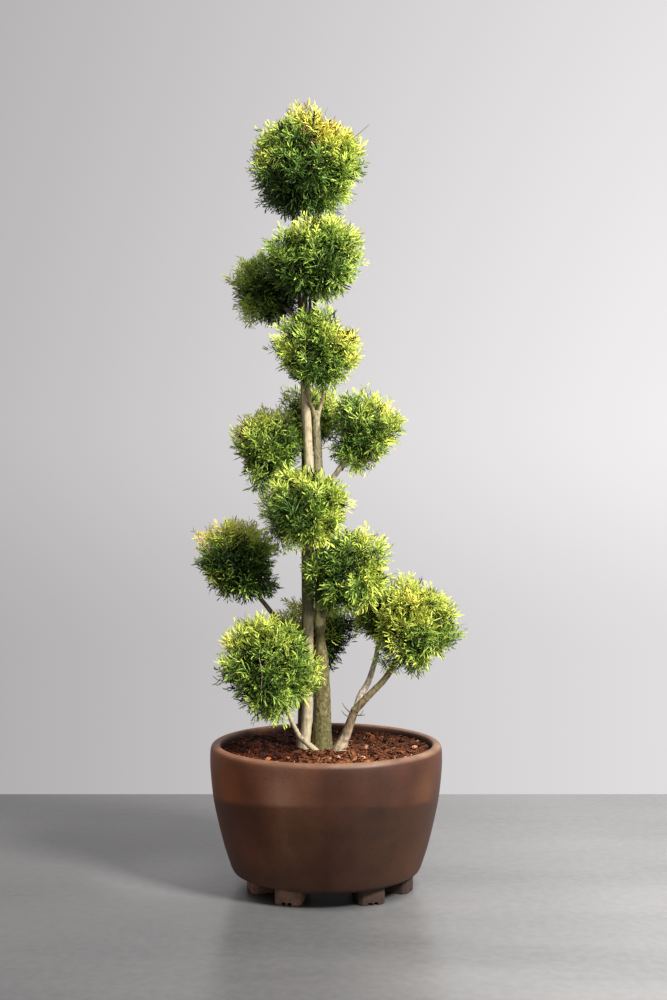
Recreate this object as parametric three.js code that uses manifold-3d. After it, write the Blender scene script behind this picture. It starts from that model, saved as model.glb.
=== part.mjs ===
// Potted golden Leyland cypress, trained as a pom-pom tree: three upright stems and two low side
// boughs carry fourteen clipped cushions of foliage above a round earthenware pot that stands on
// short feet. Millimetres, +Z up. The origin is on the ground, on the pot's axis, and the side
// with the low branching bough on the right faces -Y.
import * as THREE from "three";
import { mergeVertices } from "three/addons/utils/BufferGeometryUtils.js";
import Module from "manifold-3d";

// ---------------------------------------------------------------- driving dimensions
const CLEAR = 0.4; // gap between pieces that meet
const FACETS = { pot: 40, soil: 40, stem: 8, bough: 6 };

const POT = {
  footHeight: 40, // underside of the pot above the ground
  rimHeight: 367, // top of the rim above the ground
  wall: 27, // thickness of the wall at the rim
  base: 26, // thickness of the floor of the pot
  widest: 300.4, // largest outer radius
};
// outer wall: [radius, height above the ground], from the underside to the rim
const POT_OUTSIDE = [
  [226, 40], [242, 45.5], [250, 63.7], [265.9, 113], [281, 175.2],
  [292.6, 234], [299.4, 300], [300.4, 333], [299.2, 355], [286, 367],
];
const SOIL_TOP = 348;

const FOOT = {
  width: 71, // across the outer face
  length: 88, // from the inner end to the outer face
  corner: 12, // chamfer of the two outer corners
  taper: 9, // how much narrower each side is at the inner end
  slot: { width: 11, height: 7.5, apart: 15 }, // the two drain slots under it
  shift: 10, // how far right of the pot's axis the middle of the ring of feet lies
  // each foot's inner end: degrees from the front and distance from that middle, then the way the
  // foot faces, in degrees from the front; each one mirrored
  places: [[37, 134, 17], [70, 131, 70], [110, 131, 110], [143, 134, 163]],
};

// Stems and boughs: [x, y, z, radius] at a few stations from the foot to the tip. A limb is cut
// away round the limbs named in "from", which it grows out of.
const LIMBS = {
  stem_left: {
    path: [
      [-58, -25, SOIL_TOP, 17], [-55, -25, 380, 14.6], [-49.4, -22, 440, 13.4],
      [-45.6, -14, 690, 13], [-44.6, -7, 1040, 12], [-52.5, -2, 1270, 11],
      [-55.5, 0, 1505, 7.8], [-56, 0, 1775, 5],
    ],
    rings: 12,
  },
  stem_right: {
    path: [
      [-11, -22, SOIL_TOP, 29.5], [-11, -19, 382, 25.5], [-10.8, -15, 440, 23.4],
      [-11.4, -11, 510, 21.6], [-12.6, -8, 575, 17.4], [-15.4, -5, 635, 13],
      [-17.2, -2, 760, 12.4], [-20.5, 2, 1075, 11.6], [-25.4, 4, 1190, 9.8],
      [-25.8, 4, 1224, 10.2],
    ],
    rings: 13,
    from: ["stem_left"],
  },
  stem_back: {
    path: [
      [-64, 10, SOIL_TOP, 14.6], [-63.5, 13, 420, 11.2], [-54, 18, 660, 10.4],
      [-54.5, 20, 800, 10.2], [-55.5, 23, 1073, 9.4], [-56, 23, 1190, 8.6],
      [-68.6, 20, 1505, 6], [-84, 14, 1690, 4.6], [-86, 8, 1765, 4],
    ],
    rings: 12,
    from: ["stem_left", "stem_right"],
  },
  fork_left: {
    path: [
      [-28.5, 2, 1208, 6.6], [-35, -8, 1231, 4.8], [-45, -20, 1253, 3.7],
      [-51, -28, 1278, 3.4], [-48, -40, 1315, 3.2], [-44, -25, 1420, 3.6],
      [-42, -8, 1500, 4.2], [-38, -30, 1562, 3.4],
    ],
    rings: 9,
    from: ["stem_right", "stem_left"],
  },
  fork_right: {
    path: [
      [-22.5, 5, 1208, 6.6], [-17, 7, 1232, 5.2], [-9, 10, 1262, 4.3],
      [-12, 14, 1340, 4], [-29.5, 12, 1500, 4.4], [-33, -10, 1562, 3.6],
    ],
    rings: 9,
    from: ["stem_right", "fork_left"],
  },
  bough_low_left: {
    path: [
      [-18, -59, SOIL_TOP, 9.6], [-44, -64, 371, 7.2], [-66, -72, 392, 6.2],
      [-83, -82, 425, 5.6], [-102, -92, 466, 4.8],
    ],
    rings: 8,
    from: ["stem_left", "stem_right"],
  },
  bough_low_right: {
    path: [
      [30, -30, SOIL_TOP, 18.5], [42, -31, 371, 14.4], [53, -32, 397, 12.2],
      [66, -33, 433, 10.8], [75, -33, 457, 10.2],
    ],
    rings: 7,
    from: ["stem_right"],
  },
  bough_low_right_outer: {
    path: [
      [74, -33, 453, 9.6], [94.6, -37, 476, 9.2], [122, -40, 505, 8.6],
      [147, -40, 531, 8], [172, -40, 566, 7.4], [186, -39, 590, 6.4],
    ],
    rings: 8,
    from: ["bough_low_right"],
  },
  bough_low_right_inner: {
    path: [
      [72, -30, 440, 7.6], [87, -20, 486, 8.4], [108, -9, 521, 7.8],
      [126, 7, 571, 6.8], [138, 19, 624, 5.6],
    ],
    rings: 8,
    from: ["bough_low_right", "bough_low_right_outer"],
  },
  bough_mid_left: {
    path: [
      [-53, 17, 606, 7], [-98, 17, 652, 6.5], [-135, 20, 692, 6.3],
      [-166, 26, 729, 6], [-190, 29, 757, 5],
    ],
    rings: 6,
    from: ["stem_back", "stem_left"],
  },
  bough_mid_right: {
    path: [
      [-19, 1, 1000, 7.6], [2, 5, 1032, 7.2], [23, 8, 1060, 7],
      [39, 10, 1083, 6.8], [56, 13, 1107, 6],
    ],
    rings: 6,
    from: ["stem_right"],
  },
  bough_upper_left: {
    path: [[-55, 22, 1000, 6.6], [-84, 24, 1026, 5.8], [-112, 24, 1064, 5]],
    rings: 4,
    from: ["stem_back"],
  },
  bough_centre_right: {
    path: [[-16, -5, 688, 7.2], [8, -26, 714, 6.6], [32, -41, 746, 5.4]],
    rings: 4,
    from: ["stem_right"],
  },
  bough_back_low: {
    path: [[-14, -2, 574, 8], [-15, 25, 592, 7], [-16, 50, 614, 6]],
    rings: 4,
    from: ["stem_right"],
  },
  bough_back_mid: {
    path: [[-24, 4, 1146, 6.6], [-28, 40, 1172, 5.8], [-31, 72, 1197, 5]],
    rings: 4,
    from: ["stem_right"],
  },
  bough_back_top: {
    path: [[-67, 20, 1462, 5.2], [-94, 38, 1486, 4.8], [-120, 53, 1510, 4.2]],
    rings: 4,
    from: ["stem_back"],
  },
};

// Cushions of foliage: the centre, how far each one reaches to the front and the back, a seed that
// sets where its lumps fall, and how far it reaches in sixteen directions as seen from the front,
// from the right round by the top, the left and the bottom.
const MASSES = {
  mass_top: {
    at: [-52, 0, 1874], deep: 142, seed: 1,
    reach: [145, 162, 134, 128, 145, 123, 131, 137, 146, 139, 161, 153, 150, 146, 148, 138],
  },
  mass_upper_front: {
    at: [-23, -75, 1608], deep: 106, seed: 2,
    reach: [90, 126, 131, 110, 104, 108, 113, 144, 134, 126, 112, 106, 98, 112, 112, 101],
  },
  mass_upper_back: {
    at: [-166, 84, 1553], deep: 94, seed: 3, detail: 2,
    reach: [98, 93, 92, 98, 98, 113, 102, 88, 57, 68, 89, 96, 88, 95, 101, 100],
  },
  mass_neck_front: {
    at: [-20, -70, 1385], deep: 101, seed: 4,
    reach: [103, 116, 72, 82, 106, 108, 112, 124, 121, 110, 107, 108, 116, 106, 105, 104],
  },
  mass_middle_back: {
    at: [-31, 132, 1214], deep: 82, seed: 5, detail: 2,
    reach: [60, 80, 94, 92, 94, 96, 121, 94, 81, 80, 82, 92, 98, 72, 28, 34],
  },
  mass_middle_left: {
    at: [-152, 20, 1134], deep: 92, seed: 6, detail: 2,
    reach: [90, 99, 110, 108, 104, 107, 112, 104, 63, 56, 75, 119, 116, 104, 94, 90],
  },
  mass_middle_right: {
    at: [99, 15, 1175], deep: 98, seed: 7, detail: 2,
    reach: [72, 112, 113, 98, 119, 116, 113, 96, 56, 104, 112, 113, 115, 57, 69, 70],
  },
  mass_centre_front: {
    at: [-48, -85, 977], deep: 104, seed: 8,
    reach: [104, 102, 114, 109, 104, 111, 120, 112, 126, 97, 127, 118, 107, 106, 104, 94],
  },
  mass_lower_left: {
    at: [-234, 30, 838], deep: 101, seed: 9,
    reach: [86, 120, 99, 120, 116, 113, 120, 102, 97, 84, 84, 102, 110, 105, 129, 112],
  },
  mass_centre_right: {
    at: [61, -60, 811], deep: 99, seed: 10,
    reach: [95, 76, 126, 121, 126, 112, 108, 114, 112, 114, 115, 117, 118, 107, 98, 90],
  },
  mass_low_right: {
    at: [239, -35, 676], deep: 106, seed: 11,
    reach: [102, 108, 108, 102, 108, 146, 127, 114, 106, 112, 124, 121, 146, 78, 93, 74],
  },
  mass_low_right_back: {
    at: [150, 40, 700], deep: 66, seed: 12, detail: 2,
    reach: [64, 70, 76, 84, 92, 92, 85, 80, 82, 86, 70, 68, 100, 86, 72, 66],
  },
  mass_low_left: {
    at: [-146, -100, 581], deep: 119, seed: 13,
    reach: [130, 123, 122, 130, 147, 129, 145, 119, 118, 82, 105, 139, 141, 142, 122, 121],
  },
  mass_low_back: {
    at: [-12, 112, 635], deep: 90, seed: 14, detail: 2,
    reach: [67, 90, 90, 88, 90, 106, 138, 138, 100, 90, 88, 89, 90, 102, 59, 65],
  },
};
const MASS_DETAIL = 3;
const LUMPS = 0.055; // how far the lumps rise and sink, as a share of the radius

// Where two cushions touch, the second is hollowed to make room for the first.
const NESTED = [
  ["mass_centre_front", "mass_centre_right"],
  ["mass_low_right", "mass_low_right_back"],
  ["mass_centre_right", "mass_low_right_back"],
  ["mass_middle_right", "mass_middle_back"],
  ["mass_middle_left", "mass_middle_back"],
];

const COLOURS = {
  pot: [0x6b4636, 0.55], soil: [0x4a2c20, 0.95], foot: [0x8a5f4e, 0.85],
  bark: [0xa89a78, 0.9], foliage: [0x7d9a24, 0.8],
};

// ---------------------------------------------------------------- solids and joins
const wasm = await Module();
wasm.setup();

// A geometry with only positions and shared vertices merged.
function bare(geometry) {
  const g = geometry.clone();
  g.deleteAttribute("normal");
  g.deleteAttribute("uv");
  return mergeVertices(g, 1e-3);
}

function toSolid(geometry) {
  const g = bare(geometry);
  return new wasm.Manifold(
    new wasm.Mesh({
      numProp: 3,
      vertProperties: new Float32Array(g.attributes.position.array),
      triVerts: new Uint32Array(g.index.array),
    }),
  );
}

function toGeometry(solid) {
  const m = solid.getMesh();
  const v = new Float32Array(m.numVert * 3);
  for (let i = 0; i < m.numVert; i++)
    v.set(m.vertProperties.subarray(i * m.numProp, i * m.numProp + 3), i * 3);
  const g = new THREE.BufferGeometry()
    .setAttribute("position", new THREE.BufferAttribute(v, 3))
    .setIndex(new THREE.BufferAttribute(new Uint32Array(m.triVerts), 1));
  g.computeVertexNormals();
  return g;
}

const largest = (solid) =>
  solid.decompose().reduce((a, b) => (b.volume() > a.volume() ? b : a));

function material([colour, roughness]) {
  return new THREE.MeshStandardMaterial({ color: colour, roughness, metalness: 0 });
}

const root = new THREE.Group();
root.name = "potted_pompom_cypress";
function addMesh(name, geometry, finish, parent = root) {
  const mesh = new THREE.Mesh(geometry, material(finish));
  mesh.name = name;
  parent.add(mesh);
  return mesh;
}

// ---------------------------------------------------------------- pot, soil and feet
const between = (a, b, t) => a + (b - a) * t;
function outsideAt(z) {
  for (let i = 1; i < POT_OUTSIDE.length; i++) {
    const [r0, z0] = POT_OUTSIDE[i - 1], [r1, z1] = POT_OUTSIDE[i];
    if (z <= z1) return between(r0, r1, (z - z0) / (z1 - z0));
  }
  return POT_OUTSIDE.at(-1)[0];
}
// inner wall, a little thinner towards the floor of the pot
const insideAt = (z) => Math.min(POT.widest - POT.wall, outsideAt(z) - POT.wall + 1.5);

function turned(profile, facets) {
  const points = profile.map(([r, z]) => new THREE.Vector2(r, z));
  return new THREE.LatheGeometry(points, facets).rotateX(Math.PI / 2);
}

const potFloor = POT.footHeight + POT.base;
const insideHeights = [130, 220, 320].map((z) => [insideAt(z), z]);
addMesh(
  "pot",
  turned(
    [
      [0, POT.footHeight], ...POT_OUTSIDE, [277.5, POT.rimHeight], [273.6, 363.5],
      ...insideHeights.reverse(), [212, potFloor], [0, potFloor],
    ],
    FACETS.pot,
  ),
  COLOURS.pot,
);

addMesh(
  "soil",
  turned(
    [
      [0, potFloor + CLEAR], [210, potFloor + CLEAR],
      ...insideHeights.reverse().slice(0, 2).map(([r, z]) => [r - 0.7, z]),
      [insideAt(SOIL_TOP) - 0.7, SOIL_TOP - CLEAR], [0, SOIL_TOP - CLEAR],
    ],
    FACETS.soil,
  ),
  COLOURS.soil,
);

function footGeometry() {
  const w = FOOT.width / 2, c = FOOT.corner, l = FOOT.length, i = w - FOOT.taper;
  const plan = new THREE.Shape(); // x across, y outwards, from the inner end to the outer face
  plan.moveTo(-i, 0);
  plan.lineTo(i, 0);
  plan.lineTo(w, l - c);
  plan.lineTo(w - c, l - 1.5);
  plan.lineTo(0, l + 1.5);
  plan.lineTo(-w + c, l - 1.5);
  plan.lineTo(-w, l - c);
  plan.closePath();
  const block = toSolid(
    new THREE.ExtrudeGeometry(plan, { depth: POT.footHeight - CLEAR, bevelEnabled: false }),
  );
  const slot = (x) =>
    toSolid(
      new THREE.BoxGeometry(FOOT.slot.width, l + 40, FOOT.slot.height * 2).translate(x, l / 2, 0),
    );
  const half = FOOT.slot.apart / 2;
  return toGeometry(block.subtract(slot(-half)).subtract(slot(half)));
}
const footShape = footGeometry();
[-1, 1].forEach((side) =>
  FOOT.places.forEach(([bearing, far, facing], k) => {
    const turn = new THREE.Group(); // its +Y points the way the foot faces
    turn.rotation.z = Math.PI + (side * facing * Math.PI) / 180;
    turn.position.x = FOOT.shift;
    root.add(turn);
    const skew = ((bearing - facing) * Math.PI) / 180;
    const foot = addMesh(`foot_${side < 0 ? "left" : "right"}_${k + 1}`, footShape.clone(), COLOURS.foot, turn);
    foot.position.set(-side * far * Math.sin(skew), far * Math.cos(skew), 0);
  }),
);

// ---------------------------------------------------------------- stems and boughs
// A turned bar of the limb's taper, bent along a smooth curve through its stations. "extra"
// fattens it, to cut room for it in a neighbour.
function limbGeometry({ path, rings }, extra = 0) {
  const curve = new THREE.CatmullRomCurve3(
    path.map(([x, y, z]) => new THREE.Vector3(x, y, z)), false, "catmullrom", 0.5,
  );
  const spans = path.length - 1;
  const radiusAt = (t) => {
    const s = Math.min(t * spans, spans - 1e-9), i = Math.floor(s);
    return between(path[i][3], path[i + 1][3], s - i) + extra;
  };
  const profile = [new THREE.Vector2(0, 0)];
  for (let i = 0; i <= rings; i++) profile.push(new THREE.Vector2(radiusAt(i / rings), i / rings));
  profile.push(new THREE.Vector2(0, 1));
  const sides = path[0][3] > 10 ? FACETS.stem : FACETS.bough;
  const g = bare(new THREE.LatheGeometry(profile, sides));
  const p = g.attributes.position, at = new THREE.Vector3();
  const side = new THREE.Vector3(), front = new THREE.Vector3(), tangent = new THREE.Vector3();
  const first = path[0][2] <= SOIL_TOP + 1e-6; // stands on the soil: its foot is cut level
  for (let i = 0; i < p.count; i++) {
    const t = THREE.MathUtils.clamp(p.getY(i), 0, 1);
    curve.getPoint(t, at);
    curve.getTangent(t, tangent);
    if (first) tangent.lerp(new THREE.Vector3(0, 0, 1), Math.max(0, 1 - t * rings)).normalize();
    side.set(0, 1, 0).cross(tangent).normalize();
    front.copy(side).cross(tangent).normalize();
    const grown = extra ? (t === 0 ? -extra : t === 1 ? extra : 0) : 0;
    p.setXYZ(
      i,
      at.x + side.x * p.getX(i) + front.x * p.getZ(i) + tangent.x * grown,
      at.y + side.y * p.getX(i) + front.y * p.getZ(i) + tangent.y * grown,
      at.z + side.z * p.getX(i) + front.z * p.getZ(i) + tangent.z * grown,
    );
  }
  return g;
}

const outward = (solid) => {
  if (solid.volume() > 0) return solid;
  throw new Error("a limb is inside out");
};
const fat = {};
for (const [name, limb] of Object.entries(LIMBS)) fat[name] = outward(toSolid(limbGeometry(limb, CLEAR)));
for (const [name, limb] of Object.entries(LIMBS)) {
  let solid = toSolid(limbGeometry(limb));
  for (const other of limb.from ?? []) solid = solid.subtract(fat[other]);
  addMesh(name, toGeometry(largest(solid)), COLOURS.bark);
}

// ---------------------------------------------------------------- cushions of foliage
function lumpsAt(x, y, z, s) {
  return (
    0.4 * Math.sin(2.6 * x + 1.3 * z + 1.7 * s) +
    0.3 * Math.sin(2.9 * y - 1.1 * x + 2.3 * s) +
    0.3 * Math.sin(3.4 * z + 2.2 * y + 3.1 * s) +
    0.22 * Math.sin(5.1 * x - 3.2 * y + 2.7 * z + 0.9 * s)
  );
}
// The reach at an angle round the front view, on a smooth closed curve through the given ones.
function reachAt(reach, angle) {
  const n = reach.length, s = ((angle / (2 * Math.PI)) * n + n) % n, i = Math.floor(s), t = s - i;
  const [a, b, c, d] = [-1, 0, 1, 2].map((step) => reach[(i + step + n) % n]);
  return b + 0.5 * t * (c - a + t * (2 * a - 5 * b + 4 * c - d + t * (3 * (b - c) + d - a)));
}
function massGeometry({ at, reach, deep, seed, detail = MASS_DETAIL }, extra = 0) {
  const g = bare(new THREE.IcosahedronGeometry(1, detail));
  const p = g.attributes.position, v = new THREE.Vector3();
  const mean = reach.reduce((a, b) => a + b) / reach.length;
  for (let i = 0; i < p.count; i++) {
    const { x, y, z } = v.fromBufferAttribute(p, i).normalize();
    const across = reachAt(reach, Math.atan2(z, x));
    const k = 1 + LUMPS * lumpsAt(x, y, z, seed);
    p.setXYZ(
      i,
      at[0] + x * (across * k + extra),
      at[1] + y * (deep * k * between(1, across / mean, 0.6) + extra),
      at[2] + z * (across * k + extra),
    );
  }
  return g;
}

for (const [name, mass] of Object.entries(MASSES)) {
  let solid = toSolid(massGeometry(mass));
  for (const [first, second] of NESTED)
    if (second === name) solid = solid.subtract(toSolid(massGeometry(MASSES[first], 1)));
  for (const limb of Object.keys(LIMBS)) solid = solid.subtract(fat[limb]);
  addMesh(name, toGeometry(largest(solid)), COLOURS.foliage);
}

export default root;
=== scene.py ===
import math

import bpy
import numpy as np
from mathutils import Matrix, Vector


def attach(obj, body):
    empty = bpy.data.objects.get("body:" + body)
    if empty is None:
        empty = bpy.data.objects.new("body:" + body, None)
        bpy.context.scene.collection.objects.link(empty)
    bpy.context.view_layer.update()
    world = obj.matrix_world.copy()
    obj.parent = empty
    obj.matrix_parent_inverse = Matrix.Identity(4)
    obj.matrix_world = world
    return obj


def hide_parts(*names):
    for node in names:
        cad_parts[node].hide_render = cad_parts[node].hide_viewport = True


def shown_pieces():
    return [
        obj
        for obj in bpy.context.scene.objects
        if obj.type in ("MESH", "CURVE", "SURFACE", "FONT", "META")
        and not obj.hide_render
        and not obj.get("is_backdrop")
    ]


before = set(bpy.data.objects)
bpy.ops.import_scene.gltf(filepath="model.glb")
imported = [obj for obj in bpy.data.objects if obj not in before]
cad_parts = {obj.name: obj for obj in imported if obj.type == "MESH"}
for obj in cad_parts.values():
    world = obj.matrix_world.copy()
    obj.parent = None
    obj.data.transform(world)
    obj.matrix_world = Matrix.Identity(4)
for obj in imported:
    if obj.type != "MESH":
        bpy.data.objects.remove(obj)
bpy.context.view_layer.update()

MM = 0.001
rng = np.random.default_rng(41872)

# ------------------------------------------------------------------ numbers shared with the solids
SOIL_TOP = 348.0
POT_OUTSIDE = [(226, 40), (242, 45.5), (250, 63.7), (265.9, 113), (281, 175.2), (292.6, 234), (299.4, 300), (300.4, 333), (299.2, 355), (286, 367)]
FOOT = dict(width=71, length=88, corner=12, taper=9, shift=10, places=((37, 134, 17), (70, 131, 70), (110, 131, 110), (143, 134, 163)))

LIMBS = {
    "stem_left": [(-58, -25, 348, 17), (-55, -25, 380, 14.6), (-49.4, -22, 440, 13.4), (-45.6, -14, 690, 13), (-44.6, -7, 1040, 12), (-52.5, -2, 1270, 11), (-55.5, 0, 1505, 7.8), (-56, 0, 1775, 5)],
    "stem_right": [(-11, -22, 348, 29.5), (-11, -19, 382, 25.5), (-10.8, -15, 440, 23.4), (-11.4, -11, 510, 21.6), (-12.6, -8, 575, 17.4), (-15.4, -5, 635, 13), (-17.2, -2, 760, 12.4), (-20.5, 2, 1075, 11.6), (-25.4, 4, 1190, 9.8), (-25.8, 4, 1224, 10.2)],
    "stem_back": [(-64, 10, 348, 14.6), (-63.5, 13, 420, 11.2), (-54, 18, 660, 10.4), (-54.5, 20, 800, 10.2), (-55.5, 23, 1073, 9.4), (-56, 23, 1190, 8.6), (-68.6, 20, 1505, 6), (-84, 14, 1690, 4.6), (-86, 8, 1765, 4)],
    "fork_left": [(-28.5, 2, 1208, 6.6), (-35, -8, 1231, 4.8), (-45, -20, 1253, 3.7), (-51, -28, 1278, 3.4), (-48, -40, 1315, 3.2), (-44, -25, 1420, 3.6), (-42, -8, 1500, 4.2), (-38, -30, 1562, 3.4)],
    "fork_right": [(-22.5, 5, 1208, 6.6), (-17, 7, 1232, 5.2), (-9, 10, 1262, 4.3), (-12, 14, 1340, 4), (-29.5, 12, 1500, 4.4), (-33, -10, 1562, 3.6)],
    "bough_low_left": [(-18, -59, 348, 9.6), (-44, -64, 371, 7.2), (-66, -72, 392, 6.2), (-83, -82, 425, 5.6), (-102, -92, 466, 4.8)],
    "bough_low_right": [(30, -30, 348, 18.5), (42, -31, 371, 14.4), (53, -32, 397, 12.2), (66, -33, 433, 10.8), (75, -33, 457, 10.2)],
    "bough_low_right_outer": [(74, -33, 453, 9.6), (94.6, -37, 476, 9.2), (122, -40, 505, 8.6), (147, -40, 531, 8), (172, -40, 566, 7.4), (186, -39, 590, 6.4)],
    "bough_low_right_inner": [(72, -30, 440, 7.6), (87, -20, 486, 8.4), (108, -9, 521, 7.8), (126, 7, 571, 6.8), (138, 19, 624, 5.6)],
    "bough_mid_left": [(-53, 17, 606, 7), (-98, 17, 652, 6.5), (-135, 20, 692, 6.3), (-166, 26, 729, 6), (-190, 29, 757, 5)],
    "bough_mid_right": [(-19, 1, 1000, 7.6), (2, 5, 1032, 7.2), (23, 8, 1060, 7), (39, 10, 1083, 6.8), (56, 13, 1107, 6)],
    "bough_upper_left": [(-55, 22, 1000, 6.6), (-84, 24, 1026, 5.8), (-112, 24, 1064, 5)],
    "bough_centre_right": [(-16, -5, 688, 7.2), (8, -26, 714, 6.6), (32, -41, 746, 5.4)],
    "bough_back_low": [(-14, -2, 574, 8), (-15, 25, 592, 7), (-16, 50, 614, 6)],
    "bough_back_mid": [(-24, 4, 1146, 6.6), (-28, 40, 1172, 5.8), (-31, 72, 1197, 5)],
    "bough_back_top": [(-67, 20, 1462, 5.2), (-94, 38, 1486, 4.8), (-120, 53, 1510, 4.2)],
}

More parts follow.
